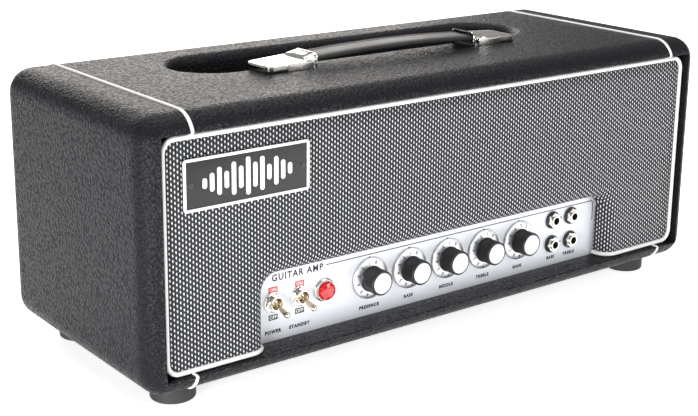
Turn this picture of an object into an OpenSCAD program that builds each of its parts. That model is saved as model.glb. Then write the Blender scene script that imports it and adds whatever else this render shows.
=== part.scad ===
// Guitar amp head: vinyl-covered plywood cabinet, recessed front control panel
// with five rotary controls, two toggle switches and four input jacks, a strap
// handle over a well in the top, and a valve chassis inside.
// X runs to the right, Y to the back and Z up. The origin is on the floor,
// under the middle of the cabinet. All sizes are in millimetres.

/* [Cabinet] */
// Width of the cabinet
cab_w = 590; // [540:5:760]
// Depth of the cabinet, front to back
cab_d = 235; // [225:5:320]
// Height of the cabinet without its feet
cab_h = 213; // [205:1:280]
// Thickness of a covered board
board_t = 14.4; // [12:0.2:18]
// Thickness of the vinyl covering
vinyl_t = 0.8; // [0.5:0.1:1.2]
// Rounding of the cabinet's outer edges
edge_r = 20; // [12:1:24]
// Number of fingers in each corner joint
finger_count = 9; // [5:2:13]
// Distance of the cabinet's piping from the side faces
piping_inset = 39.6; // [30:0.2:60]
// Width of the cabinet's piping
piping_w = 3; // [2:0.2:5]
// How far the cabinet's piping stands proud
piping_proud = 1.1; // [0.6:0.1:2]

/* [Feet] */
// Height of a rubber foot
foot_h = 16; // [10:0.5:30]
// Radius of a rubber foot
foot_r = 18; // [12:0.5:24]
// Distance of a foot's centre from the side face
foot_inset_x = 41; // [30:1:60]
// Distance of a foot's centre from the front or rear face
foot_inset_y = 41; // [30:1:60]

/* [Grille] */
// How far the cloth lies behind the cabinet's front
grille_recess = 7.7; // [4:0.1:14]
// Thickness of the grille board
baffle_t = 15; // [12.5:0.5:20]
// Thickness of the grille cloth
cloth_t = 0.8; // [0.5:0.1:1.2]
// Radius of the grille's white piping
bead_r = 2; // [1.5:0.1:3]
// Gap between the piping and the cabinet's opening
bead_gap = 1.6; // [0.5:0.1:4]
// Corner radius of the grille board's outline
grille_corner_r = 8; // [5:0.5:14]

/* [Control recess] */
// Width of the opening in front of the control panel
recess_w = 380; // [360:2:420]
// Height of the opening above the bottom board
recess_h = 60.6; // [56:0.2:80]
// Rounding of the grille board's edge round the opening
recess_edge_r = 12; // [6:0.5:12]
// Corner radius of the opening
recess_corner_r = 14; // [4:0.5:16]

/* [Chassis] */
// Thickness of the front control panel
panel_t = 2; // [1.5:0.1:3]
// Gap between the grille board and the control panel
panel_gap = 1.3; // [0.3:0.1:2]
// Width of the chassis and its panels
chassis_w = 388; // [376:2:440]
// Height of the chassis
chassis_h = 66; // [62:1:84]
// Thickness of the chassis sheet
sheet_t = 1.6; // [1.2:0.1:2.5]
// How far the rear panel lies behind the cabinet's rear edge
rear_recess = 20; // [14:1:30]

/* [Rotary controls] */
// Distance between two rotary controls
knob_pitch = 42.1; // [38:0.1:44]
// Place of the middle control, from the cabinet's centre
knob_mid_x = 7.5; // [0:0.5:15]
// Height of the controls' axes above the bottom board
control_z = 32.4; // [26:0.2:36]
// Radius of a dial skirt
dial_r = 17.6; // [14:0.1:18.5]
// Thickness of a dial skirt at its rim
dial_t = 2.6; // [2:0.1:4]
// Radius of a knob's grip
grip_r = 10.6; // [9:0.1:12]
// Distance from the control panel to a knob's face
knob_reach = 18; // [15:0.5:21]
// Gap between a dial skirt and the control panel
dial_gap = 0.8; // [0.5:0.1:1.5]
// Radius of a control shaft
shaft_r = 3; // [3:0.1:3.2]
// Running clearance of a shaft in its bushing
shaft_fit = 0.05; // [0.02:0.01:0.09]
// Radius of a control's threaded bushing
bushing_r = 4.6; // [4.2:0.1:5]

/* [Switches and lamp] */
// Place of the power switch, from the cabinet's centre
power_x = -172.2; // [-174:0.2:-165]
// Distance between the two switches
switch_pitch = 25.3; // [24:0.1:28]
// Radius of a switch's threaded bushing
toggle_bushing_r = 5.9; // [5:0.1:6]
// How far a switch lever is tilted either way
toggle_tilt = 15; // [10:0.5:16]
// Length of a switch lever from its pivot
lever_len = 21; // [18:0.5:24]
// Distance of the indicator lamp from the standby switch
lamp_pitch = 23.8; // [22:0.1:26]
// Radius of the lamp's bezel
bezel_r = 9.6; // [9:0.1:10]

/* [Jacks] */
// Place of the first column of input jacks
jack_x = 134.1; // [130:0.5:140]
// Distance between the two columns of input jacks
jack_pitch_x = 23.5; // [20:0.5:26]
// Distance between the two rows of input jacks
jack_pitch_z = 22.8; // [20:0.2:26]
// Radius of the hole for a 6.35 mm plug
plug_hole_r = 3.25; // [3.2:0.01:3.3]
// Radius of a jack's threaded bushing
jack_bushing_r = 4.6; // [4.2:0.1:5]

/* [Handle] */
// Distance of the handle's centre line in front of the cabinet's middle
handle_forward = 17; // [0:1:30]
// Length of the strap's visible part
strap_len = 172; // [140:2:200]
// Width of the strap
strap_w = 28; // [22:1:34]
// Thickness of the strap
strap_t = 5.6; // [4.5:0.1:7]
// Height of the strap's underside above the top, at its ends
strap_low = 4.6; // [4.4:0.1:8]
// How much higher the strap's middle is than its ends
strap_arch = 2.6; // [1:0.1:6]
// Length of an end cap
cap_len = 50; // [46:1:60]
// Width of an end cap
cap_w = 33; // [31:0.5:40]
// How far the strap can shift lengthwise in its caps, each way
strap_play = 3; // [1:0.5:4]

/* [Handle well] */
// Length of the well's mouth
well_len = 380; // [280:5:400]
// Width of the well's mouth
well_w = 87; // [70:1:100]
// Distance of the well's centre behind the cabinet's middle
well_back = 32.5; // [20:0.5:40]
// Depth of the well
well_depth = 24; // [16:1:28]
// Rounding of the well's rim
well_rim_r = 8; // [3:0.5:9]

/* [Badge] */
// Width of the badge
badge_w = 110; // [80:1:140]
// Height of the badge
badge_h = 39.5; // [30:0.5:50]
// Thickness of the badge plate
badge_t = 2.2; // [1.5:0.1:4]
// Distance of the badge's centre from the side of the grille opening
badge_in = 73.8; // [60:0.2:90]
// Distance of the badge's centre from the top of the grille opening
badge_down = 39.2; // [30:0.2:50]

/* [Hidden] */
$fn = 64;
cut = 1;            // how far a cut runs past the face it opens

// Cabinet
base_z = foot_h;
top_z = base_z + cab_h;
mid_z = base_z + cab_h / 2;
wood_t = board_t - 2 * vinyl_t;
open_w = cab_w - 2 * board_t;
open_h = cab_h - 2 * board_t;
floor_z = base_z + board_t;
ceiling_z = top_z - board_t;
front_y = -cab_d / 2;
rear_y = cab_d / 2;
piping_x = cab_w / 2 - piping_inset;
foot_x = cab_w / 2 - foot_inset_x;
foot_y = cab_d / 2 - foot_inset_y;
foot_edge_r = 2;
screw_r = 2;
screw_head_r = 4;
screw_head_h = 2.2;

// Grille
cloth_y = front_y + grille_recess;
baffle_y = cloth_y + cloth_t;
baffle_back_y = baffle_y + baffle_t;
bead_in = bead_gap + bead_r;
baffle_w = open_w - 2 * (bead_in + bead_r);
baffle_top_z = ceiling_z - bead_in - bead_r;
bead_low_z = floor_z + bead_r + 0.4;
baffle_low_z = bead_low_z + bead_r;
recess_top_z = floor_z + recess_h;
cleat_w = 18;
cleat_t = 15;
cleat_in = open_w / 2 + vinyl_t;
front_turn_y = baffle_back_y - 1;   // the vinyl is turned in as far as this, hidden by the board

// Chassis
panel_y = baffle_back_y + panel_gap;
chassis_y = panel_y + panel_t;
rear_panel_t = 1.5;
rear_panel_y = rear_y - rear_recess;
chassis_rear_y = rear_panel_y - rear_panel_t;
chassis_low_z = floor_z - vinyl_t;
deck_z = chassis_low_z + chassis_h;
back_board_t = 12;
back_board_y = rear_panel_y - 1;
rear_turn_y = rear_panel_y;         // and at the rear, as far as this
control_axis_z = floor_z + control_z;

// Rotary controls
knob_x = [for (i = [-2 : 2]) knob_mid_x + i * knob_pitch];
dial_back_y = panel_y - dial_gap;
dial_front_y = dial_back_y - dial_t;
face_y = panel_y - knob_reach;
nut_t = 2;
nut_pocket = nut_t + 0.8;
nut_pocket_r = 8;
knob_bore = 11;
shaft_tip_y = face_y + knob_reach - nut_pocket - dial_gap - knob_bore;
pot_r = 12;
pot_t = 10;

// Switches and lamp
switch_x = [power_x, power_x + switch_pitch];
toggle_pivot_y = panel_y - 1.5;
toggle_out = 6.5;
lamp_x = power_x + switch_pitch + lamp_pitch;
lamp_z = control_axis_z - 0.2;

// Jacks
jack_xs = [jack_x, jack_x + jack_pitch_x];
jack_zs = [control_axis_z - jack_pitch_z / 2 - 0.4, control_axis_z + jack_pitch_z / 2 - 0.4];
jack_out = 6;
washer_t = 1.7;
jack_nut_t = 2.8;

// Handle
handle_y = -handle_forward;
cap_x = strap_len / 2;
post_x = cap_x + 18;
post_r = 2.4;
post_gap = 0.5;
tongue_t = 2.4;
tongue_low = 3.2;
tongue_end_x = post_x + post_r + strap_play + post_gap + 3.6;
root_len = 4;
plate_t = 1.5;
handle_head_h = 1.2;
handle_screw_x = [cap_x + 8, cap_x + cap_len - 10];

// Handle well
well_wall = 2.2;
well_end_x = well_len / 2 - well_w / 2;
well_top_r = well_w / 2;
well_in_r = well_top_r - well_rim_r;

// Badge
badge_x = -open_w / 2 + badge_in;
badge_z = ceiling_z - badge_down;
badge_border = 2.2;
badge_relief = 0.9;
badge_screw_x = badge_w / 2 - 6;

// Rear connections
inlet_x = -150;
fuse_x = [-112, -86];
speaker_x = [96, 126];
rear_axis_z = floor_z + 32;

// ---------------------------------------------------------------- helpers

// A rectangle with round corners, centred
module rounded_rect(a, b, r) {
    union() {
        square([a - 2 * r, b], center = true);
        square([a, b - 2 * r], center = true);
        for (i = [-1, 1])
            for (j = [-1, 1])
                translate([i * (a / 2 - r), j * (b / 2 - r)])
                    circle(r);
    }
}

// A stadium: two half circles joined by straight sides
module stadium(half_len, r) {
    union() {
        square([2 * half_len, 2 * r], center = true);
        for (i = [-1, 1])
            translate([i * half_len, 0])
                circle(r);
    }
}

// A block centred on the cabinet with every edge rounded, and its corners eased by a ball
module cabinet_block(inset) {
    w = cab_w - 2 * inset;
    d = cab_d - 2 * inset;
    h = cab_h - 2 * inset;
    r = edge_r - inset;
    translate([0, 0, mid_z])
        difference() {
            intersection() {
                linear_extrude(h, center = true)
                    rounded_rect(w, d, r);
                rotate([90, 0, 0])
                    linear_extrude(d, center = true)
                        rounded_rect(w, h, r);
                rotate([90, 0, 90])
                    linear_extrude(w, center = true)
                        rounded_rect(d, h, r);
            }
            for (i = [-1, 1])
                for (j = [-1, 1])
                    for (k = [-1, 1])
                        translate([i * (w / 2 - r), j * (d / 2 - r), k * (h / 2 - r)])
                            corner_waste(i, j, k, r);
        }
}

// What is taken off a corner: the cube round it less a ball a little larger than the rounding
module corner_waste(i, j, k, r) {
    ball_r = 1.03 * r;
    cube_near = 0.15 * r;
    cube_far = 1.25 * r;
    middle = (cube_near + cube_far) / 2;
    difference() {
        translate([i * middle, j * middle, k * middle])
            cube(cube_far - cube_near, center = true);
        sphere(ball_r);
    }
}

// A box given by its low and high corners
module box(low, high) {
    translate(low)
        cube(high - low);
}

// A box that reaches right across the inside of the cabinet, grown by the given amount
module tunnel(grow, y0, y1) {
    box([-open_w / 2 - grow, y0, floor_z - grow], [open_w / 2 + grow, y1, ceiling_z + grow]);
}

// A cylinder that starts at a point and runs the given way along Y
module rod_y(x, y0, y1, z, r) {
    translate([x, y1, z])
        rotate([90, 0, 0])
            cylinder(h = y1 - y0, r = r);
}

// A cone along Y: radius ra at y0 and rb at y1
module cone_y(x, y0, y1, z, ra, rb) {
    translate([x, y1, z])
        rotate([90, 0, 0])
            cylinder(h = y1 - y0, r1 = rb, r2 = ra);
}

// A hexagon nut's outline along Y, given across its flats
module hex_y(x, y0, y1, z, flats) {
    translate([x, y1, z])
        rotate([90, 0, 0])
            cylinder(h = y1 - y0, r = flats / 2 / cos(30), $fn = 6);
}

// Fingers of the side boards, in the given corner of the cabinet
module finger_slots(sx, sz) {
    step = cab_d / finger_count;
    for (i = [1 : 2 : finger_count - 1])
        translate([0, -cab_d / 2 + i * step, 0])
            box([sx > 0 ? cab_w / 2 - wood_t - vinyl_t : -cab_w / 2 - cut, 0,
                 sz > 0 ? top_z - wood_t - vinyl_t : base_z - cut],
                [sx > 0 ? cab_w / 2 + cut : -cab_w / 2 + wood_t + vinyl_t, step,
                 sz > 0 ? top_z + cut : base_z + wood_t + vinyl_t]);
}

// A flat board, top (sz = 1) or bottom (sz = -1), with its finger joints
module flat_board(sz) {
    difference() {
        intersection() {
            cabinet_block(vinyl_t);
            box([-cab_w, -cab_d, sz > 0 ? top_z - wood_t - vinyl_t : base_z],
                [cab_w, cab_d, sz > 0 ? top_z : base_z + wood_t + vinyl_t]);
        }
        finger_slots(1, sz);
        finger_slots(-1, sz);
    }
}

// A side board, left (sx = -1) or right (sx = 1), with its finger joints
module side_board(sx) {
    intersection() {
        cabinet_block(vinyl_t);
        union() {
            box([sx > 0 ? cab_w / 2 - wood_t - vinyl_t : -cab_w / 2, -cab_d,
                 base_z + wood_t + vinyl_t],
                [sx > 0 ? cab_w / 2 : -cab_w / 2 + wood_t + vinyl_t, cab_d,
                 top_z - wood_t - vinyl_t]);
            finger_slots(sx, 1);
            finger_slots(sx, -1);
        }
    }
}

// The handle well's outline as a solid between two heights
module well_prism(z0, z1, r) {
    translate([0, well_back, z0])
        linear_extrude(z1 - z0)
            stadium(well_end_x, r);
}

// The rolled rim of the well: what is cut away above the rounding
module well_flare() {
    grow = well_rim_r + cut;
    translate([0, well_back, top_z]) {
        for (i = [-1, 1])
            translate([i * well_end_x, 0, 0])
                rotate_extrude()
                    flare_profile(grow);
        for (j = [0, 180])
            rotate([0, 0, j])
                rotate([90, 0, 90])
                    linear_extrude(2 * well_end_x, center = true)
                        flare_profile(grow);
    }
}
module flare_profile(grow) {
    difference() {
        translate([well_in_r - cut, -well_rim_r])
            square([well_rim_r + cut, grow]);
        translate([well_top_r, -well_rim_r])
            circle(well_rim_r);
    }
}

// ---------------------------------------------------------------- cabinet

module top_board() {
    color("burlywood")
        difference() {
            flat_board(1);
            well_prism(top_z - board_t - cut, top_z + cut, well_top_r + well_wall);
            for (i = [-1, 1])
                for (x = handle_screw_x)
                    translate([i * x, handle_y, top_z - board_t - cut])
                        cylinder(h = board_t + 2 * cut, r = screw_r);
        }
}

module bottom_board() {
    color("burlywood")
        difference() {
            flat_board(-1);
            foot_screw_places()
                translate([0, 0, base_z - cut])
                    cylinder(h = board_t + 2 * cut, r = screw_r);
            chassis_bolt_places()
                translate([0, 0, base_z - cut])
                    cylinder(h = board_t + 2 * cut, r = screw_r);
        }
}

module left_board() {
    color("burlywood")
        side_board(-1);
}

module right_board() {
    color("burlywood")
        side_board(1);
}

// One skin over the four boards, turned in round both openings
module vinyl_covering() {
    color([0.13, 0.13, 0.14])
        difference() {
            cabinet_block(0);
            difference() {
                cabinet_block(vinyl_t);
                tunnel(vinyl_t, -cab_d, cab_d);
            }
            tunnel(0, -cab_d, cab_d);
            tunnel(vinyl_t, front_turn_y, rear_turn_y);
            well_prism(top_z - vinyl_t - cut, top_z + cut, well_top_r + well_wall);
            for (i = [-1, 1])
                for (x = handle_screw_x)
                    translate([i * x, handle_y, top_z - vinyl_t - cut])
                        cylinder(h = vinyl_t + 2 * cut, r = screw_r);
            foot_screw_places()
                translate([0, 0, base_z - cut])
                    cylinder(h = vinyl_t + 2 * cut, r = screw_r);
            chassis_bolt_places()
                translate([0, 0, base_z - cut])
                    cylinder(h = vinyl_t + 2 * cut, r = screw_head_r);
        }
}

// Two strips of white piping from the front opening over the top and bottom to the rear,
// broken where a foot stands on them
module cabinet_piping() {
    color("white")
        difference() {
            for (i = [-1, 1])
                translate([i * piping_x, 0, mid_z])
                    rotate([90, 0, 90])
                        linear_extrude(piping_w, center = true)
                            difference() {
                                rounded_rect(cab_d + 2 * piping_proud, cab_h + 2 * piping_proud,
                                             edge_r + piping_proud);
                                rounded_rect(cab_d, cab_h, edge_r);
                                square([2 * cab_d, open_h], center = true);
                            }
            foot_screw_places()
                cylinder(h = foot_h + cut, r = foot_r);
        }
}

module handle_well() {
    color([0.12, 0.12, 0.13])
        difference() {
            union() {
                well_prism(top_z - board_t, top_z, well_top_r + well_wall);
                well_prism(top_z - well_depth - well_wall, top_z - board_t,
                           well_in_r + well_wall);
            }
            well_prism(top_z - well_depth, top_z + cut, well_in_r);
            well_flare();
        }
}

// Battens glued inside the cabinet that the grille board and the back board screw to
module cleats() {
    upright_h = ceiling_z - deck_z - cleat_t - 6;
    color("tan")
        difference() {
            for (i = [-1, 1])
                for (y = [baffle_back_y, back_board_y - cleat_t]) {
                    translate([i * (cleat_in - cleat_w / 2), y + cleat_t / 2, deck_z + upright_h / 2])
                        cube([cleat_w, cleat_t, upright_h], center = true);
                    translate([i * open_w / 4, y + cleat_t / 2, ceiling_z + vinyl_t - cleat_t / 2])
                        cube([open_w / 2 - 60, cleat_t, cleat_t], center = true);
                }
            grille_screw_places()
                rod_y(0, baffle_back_y - cut, baffle_back_y + cleat_t + cut, 0, screw_r);
            back_screw_places()
                rod_y(0, back_board_y - 10, back_board_y + cut, 0, screw_r);
        }
}

module feet() {
    color([0.1, 0.1, 0.1])
        foot_screw_places()
            difference() {
                rotate_extrude()
                    difference() {
                        union() {
                            translate([0, foot_edge_r])
                                square([foot_r, foot_h - foot_edge_r]);
                            square([foot_r - foot_edge_r, foot_h]);
                            translate([foot_r - foot_edge_r, foot_edge_r])
                                circle(foot_edge_r);
                        }
                        translate([-foot_r, 0])
                            square([foot_r, foot_h]);
                    }
                translate([0, 0, -cut])
                    cylinder(h = foot_h + 2 * cut, r = screw_r);
                translate([0, 0, -cut])
                    cylinder(h = foot_h / 2 + cut, r = screw_head_r + 1);
            }
}

module foot_screws() {
    color("silver")
        foot_screw_places()
            translate([0, 0, foot_h / 2])
                wood_screw(foot_h / 2 + board_t - 2);
}

module foot_screw_places() {
    for (i = [-1, 1])
        for (j = [-1, 1])
            translate([i * foot_x, j * foot_y, 0])
                children();
}

// A screw that points up, with its head below Z = 0
module wood_screw(len) {
    union() {
        translate([0, 0, -screw_head_h])
            cylinder(h = screw_head_h, r = screw_head_r);
        cylinder(h = len, r = screw_r);
    }
}

// ---------------------------------------------------------------- grille

// The grille board's outline without its control opening, as a flat shape
module grille_outline(grow) {
    w = baffle_w + 2 * grow;
    low = baffle_low_z - grow;
    high = baffle_top_z + grow;
    translate([0, (low + high) / 2])
        rounded_rect(w, high - low, grille_corner_r);
}

// The control opening's outline, grown by the given amount
module recess_outline(grow) {
    r = recess_corner_r + grow;
    half = recess_w / 2 + grow;
    top = recess_top_z + grow;
    union() {
        translate([-half, 0])
            square([2 * half, top - r]);
        translate([-half + r, 0])
            square([2 * (half - r), top]);
        for (i = [-1, 1])
            translate([i * (half - r), top - r])
                circle(r);
    }
}

// The rounded bar round the control opening, of radius r
module recess_bar(r) {
    path_r = recess_corner_r + recess_edge_r;
    half = recess_w / 2 + recess_edge_r;
    top = recess_top_z + recess_edge_r;
    y = baffle_y + recess_edge_r;
    for (i = [-1, 1]) {
        translate([i * half, y, baffle_low_z])
            cylinder(h = top - path_r - baffle_low_z, r = r);
        translate([i * (half - path_r), y, top - path_r])
            rotate([90, i > 0 ? 0 : -90, 0])
                rotate_extrude(angle = 90)
                    translate([path_r, 0])
                        circle(r);
    }
    translate([-half + path_r, y, top])
        rotate([0, 90, 0])
            cylinder(h = 2 * (half - path_r), r = r);
}

// The board with its edge rounded, grown by skin at the front and in the opening
module grille_form(skin) {
    back = baffle_t + skin;
    union() {
        translate([0, baffle_back_y, 0])
            rotate([90, 0, 0])
                linear_extrude(back)
                    difference() {
                        grille_outline(0);
                        recess_outline(recess_edge_r);
                    }
        translate([0, baffle_back_y, 0])
            rotate([90, 0, 0])
                linear_extrude(baffle_t - recess_edge_r)
                    difference() {
                        grille_outline(0);
                        recess_outline(-skin);
                    }
        intersection() {
            recess_bar(recess_edge_r + skin);
            box([-cab_w, -cab_d, baffle_low_z], [cab_w, baffle_back_y, top_z]);
        }
    }
}

module grille_board() {
    color("tan")
        difference() {
            grille_form(0);
            grille_screw_places()
                rod_y(0, baffle_back_y - 10, baffle_back_y + cut, 0, screw_r);
        }
}

module grille_cloth() {
    color([0.35, 0.35, 0.36])
        difference() {
            grille_form(cloth_t);
            grille_form(0);
        }
}

// Round white cord along the grille's edge, turned back round the two lower legs
module grille_piping() {
    x = baffle_w / 2 + bead_r;
    high = baffle_top_z + bead_r;
    low = bead_low_z;
    r = grille_corner_r + bead_r;
    leg_x = recess_w / 2 + recess_edge_r;
    turn_r = recess_edge_r + cloth_t;
    turn_y = baffle_y + recess_edge_r;
    color("white")
        union() {
            translate([-x + r, cloth_y, high])
                rotate([0, 90, 0])
                    cylinder(h = 2 * (x - r), r = bead_r);
            for (i = [-1, 1]) {
                translate([i * x, cloth_y, low + r])
                    cylinder(h = high - low - 2 * r, r = bead_r);
                translate([i * (x - r), cloth_y, high - r])
                    rotate([90, i > 0 ? 0 : -90, 0])
                        rotate_extrude(angle = 90)
                            translate([r, 0])
                                circle(bead_r);
                translate([i * (x - r), cloth_y, low + r])
                    rotate([90, i > 0 ? 90 : 180, 0])
                        rotate_extrude(angle = 90)
                            translate([r, 0])
                                circle(bead_r);
                translate([i > 0 ? leg_x : -x + r, cloth_y, low])
                    rotate([0, 90, 0])
                        cylinder(h = x - r - leg_x, r = bead_r);
                translate([i * leg_x, turn_y, low])
                    rotate([0, 0, i > 0 ? 180 : 270])
                        rotate_extrude(angle = 90)
                            translate([turn_r, 0])
                                circle(bead_r);
            }
        }
}

module grille_screw_places() {
    for (i = [-1, 1])
        for (z = [deck_z + 20, ceiling_z - 45])
            translate([i * (baffle_w / 2 - 8), 0, z])
                children();
}

module grille_screws() {
    color("silver")
        grille_screw_places()
            union() {
                rod_y(0, baffle_back_y - 10, baffle_back_y + cleat_t, 0, screw_r);
                rod_y(0, baffle_back_y + cleat_t, baffle_back_y + cleat_t + screw_head_h, 0,
                      screw_head_r);
            }
}

// ---------------------------------------------------------------- badge

module badge_places() {
    translate([badge_x, cloth_y, badge_z])
        rotate([90, 0, 0])
            children();
}

module badge_plate() {
    color([0.05, 0.05, 0.05])
        difference() {
            badge_places()
                linear_extrude(badge_t)
                    rounded_rect(badge_w, badge_h, 1.5);
            for (i = [-1, 1])
                rod_y(badge_x + i * badge_screw_x, cloth_y - badge_t - cut, cloth_y + cut,
                      badge_z, 1);
        }
}

// A raised white border and a plain zigzag
module badge_emblem() {
    bar_w = 3.6;
    bar_pitch = 6.2;
    bar_h = [8, 14, 21, 13, 25, 17, 29, 19, 26, 12, 22, 15, 9];
    mid_bar = (len(bar_h) - 1) / 2;
    color("white")
        badge_places()
            translate([0, 0, badge_t])
                linear_extrude(badge_relief)
                    union() {
                        difference() {
                            rounded_rect(badge_w, badge_h, 2);
                            rounded_rect(badge_w - 2 * badge_border, badge_h - 2 * badge_border, 1);
                        }
                        for (i = [0 : len(bar_h) - 1])
                            translate([(i - mid_bar) * bar_pitch, 0])
                                rounded_rect(bar_w, bar_h[i], 1.5);
                    }
}

module badge_screws() {
    color("silver")
        for (i = [-1, 1])
            union() {
                rod_y(badge_x + i * badge_screw_x, cloth_y - badge_t, cloth_y, badge_z, 1);
                cone_y(badge_x + i * badge_screw_x, cloth_y - badge_t - 0.8, cloth_y - badge_t,
                       badge_z, 1.2, 2);
            }
}

// ---------------------------------------------------------------- handle

// Height of the strap's underside above its ends, on a parabola
function strap_rise(x) = strap_arch * (1 - pow(x / cap_x, 2));
strap_steps = 24;
strap_xs = [for (i = [0 : strap_steps]) -cap_x + 2 * cap_x * i / strap_steps];

module handle_strap() {
    under = [for (x = strap_xs) [x, strap_low + strap_rise(x)]];
    over = [for (x = strap_xs) [-x, strap_low + strap_t + strap_rise(x)]];
    color([0.08, 0.08, 0.08])
        difference() {
            translate([0, handle_y, top_z])
                union() {
                    rotate([90, 0, 0])
                        linear_extrude(strap_w, center = true)
                            polygon(concat(under, over));
                    for (i = [0, 180])
                        rotate([0, 0, i]) {
                            box([cap_x - root_len, -strap_w / 2 + 1, tongue_low],
                                [cap_x + root_len, strap_w / 2 - 1, strap_low + strap_t]);
                            box([cap_x, -strap_w / 2 + 2, tongue_low],
                                [tongue_end_x, strap_w / 2 - 2, tongue_low + tongue_t]);
                        }
                }
            for (i = [-1, 1])
                translate([i * post_x, handle_y, top_z])
                    linear_extrude(strap_low + strap_t + cut)
                        stadium(strap_play, post_r + post_gap);
        }
}

// A cap's side view, from its mouth at x = 0 outwards
module cap_profile() {
    mouth = strap_low + strap_t + 1.9;
    union() {
        polygon([[0, 0], [0, mouth], [9, mouth], [17, mouth - 3.6], [cap_len - 6, 6.4],
                 [cap_len - 3, 5.6], [cap_len - 3, 0]]);
        translate([cap_len - 3, 0])
            square([3, 2.6]);
        translate([cap_len - 3, 2.6])
            circle(3);
    }
}

// The hollow under a cap
module cap_hollow() {
    roof = strap_low + strap_t + 0.5;
    polygon([[-cut, -cut], [-cut, roof], [8.5, roof], [16, roof - 3.2], [cap_len - 7, 5],
             [cap_len - 3.5, 4.2], [cap_len - 3.5, -cut]]);
}

module handle_caps() {
    color([0.85, 0.83, 0.8])
        for (i = [0, 180])
            translate([0, handle_y, top_z])
                rotate([0, 0, i])
                    translate([cap_x, 0, 0])
                        difference() {
                            intersection() {
                                rotate([90, 0, 0])
                                    linear_extrude(cap_w, center = true)
                                        cap_profile();
                                box([-cut, -cap_w, 0], [cap_len + cut, cap_w, 30]);
                            }
                            rotate([90, 0, 0])
                                linear_extrude(cap_w - 2.6, center = true)
                                    cap_hollow();
                        }
}

module handle_plates() {
    color("silver")
        for (i = [0, 180])
            translate([0, handle_y, top_z])
                rotate([0, 0, i])
                    difference() {
                        union() {
                            box([cap_x + 2, -cap_w / 2 + 1.3, 0],
                                [cap_x + cap_len - 3.5, cap_w / 2 - 1.3, plate_t]);
                            translate([post_x, 0, 0])
                                cylinder(h = tongue_low + tongue_t + 0.6, r = post_r);
                        }
                        for (x = handle_screw_x)
                            translate([x, 0, -cut])
                                cylinder(h = plate_t + 2 * cut, r = screw_r);
                    }
}

module handle_screws() {
    color("silver")
        for (i = [-1, 1])
            for (x = handle_screw_x)
                translate([i * x, handle_y, top_z + plate_t])
                    union() {
                        cylinder(h = handle_head_h, r1 = screw_head_r, r2 = screw_head_r - 1);
                        translate([0, 0, -plate_t - board_t + 2])
                            cylinder(h = plate_t + board_t - 2, r = screw_r);
                    }
}

// ---------------------------------------------------------------- chassis

// Everything that passes through the front of the chassis, cut to its own size
module front_holes() {
    for (x = knob_x)
        rod_y(x, panel_y - cut, chassis_y + sheet_t + cut, control_axis_z, bushing_r);
    for (x = switch_x)
        rod_y(x, panel_y - cut, chassis_y + sheet_t + cut, control_axis_z, toggle_bushing_r);
    rod_y(lamp_x, panel_y - cut, chassis_y + sheet_t + cut, lamp_z, 6.5);
    for (x = jack_xs)
        for (z = jack_zs)
            rod_y(x, panel_y - cut, chassis_y + sheet_t + cut, z, jack_bushing_r);
}

module control_panel() {
    color([0.9, 0.9, 0.91])
        difference() {
            box([-chassis_w / 2, panel_y, floor_z],
                [chassis_w / 2, chassis_y, deck_z]);
            front_holes();
        }
}

// Folded steel tray, open at the bottom, with feet turned in
module chassis() {
    flange = 14;
    color([0.72, 0.73, 0.75])
        difference() {
            union() {
                difference() {
                    box([-chassis_w / 2, chassis_y, floor_z],
                        [chassis_w / 2, chassis_rear_y, deck_z]);
                    box([-chassis_w / 2 + sheet_t, chassis_y + sheet_t, floor_z - cut],
                        [chassis_w / 2 - sheet_t, chassis_rear_y - sheet_t, deck_z - sheet_t]);
                }
                for (i = [0, chassis_w - flange])
                    box([-chassis_w / 2 + i, chassis_y, floor_z],
                        [-chassis_w / 2 + i + flange, chassis_rear_y, floor_z + sheet_t]);
            }
            front_holes();
            rear_holes();
            socket_places()
                translate([0, 0, deck_z - sheet_t - cut])
                    cylinder(h = sheet_t + 2 * cut, r = 9);
            chassis_bolt_places()
                translate([0, 0, floor_z - cut])
                    cylinder(h = sheet_t + 2 * cut, r = screw_r);
        }
}

module chassis_bolt_places() {
    for (i = [-1, 1])
        for (y = [-60, 60])
            translate([i * (chassis_w / 2 - 8), y, 0])
                children();
}

module chassis_bolts() {
    color("silver")
        chassis_bolt_places()
            union() {
                translate([0, 0, base_z - screw_head_h + vinyl_t])
                    cylinder(h = screw_head_h, r = screw_head_r);
                translate([0, 0, base_z + vinyl_t])
                    cylinder(h = board_t - vinyl_t + sheet_t + 5, r = screw_r);
                translate([0, 0, floor_z + sheet_t])
                    cylinder(h = 3, r = 4, $fn = 6);
            }
}

// ---------------------------------------------------------------- controls

// A skirted knob: bevelled dial, turned grip and raised cap, bored for its shaft
module knob(x) {
    difference() {
        union() {
            cone_y(x, dial_front_y, dial_front_y + 1.1, control_axis_z, dial_r - 1.3, dial_r);
            rod_y(x, dial_front_y + 1.1, dial_back_y, control_axis_z, dial_r);
            cone_y(x, dial_front_y - 2.4, dial_front_y, control_axis_z, grip_r, grip_r + 1.9);
            rod_y(x, face_y + 1, dial_front_y - 2.4, control_axis_z, grip_r);
            cone_y(x, face_y, face_y + 1, control_axis_z, grip_r - 1, grip_r);
        }
        rod_y(x, dial_back_y - nut_pocket, dial_back_y + cut, control_axis_z, nut_pocket_r);
        rod_y(x, shaft_tip_y, dial_back_y, control_axis_z, shaft_r);
    }
}

module knob_presence() {
    color([0.1, 0.1, 0.1])
        knob(knob_x[0]);
}

module knob_bass() {
    color([0.1, 0.1, 0.1])
        knob(knob_x[1]);
}

module knob_middle() {
    color([0.1, 0.1, 0.1])
        knob(knob_x[2]);
}

module knob_treble() {
    color([0.1, 0.1, 0.1])
        knob(knob_x[3]);
}

module knob_gain() {
    color([0.1, 0.1, 0.1])
        knob(knob_x[4]);
}

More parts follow.
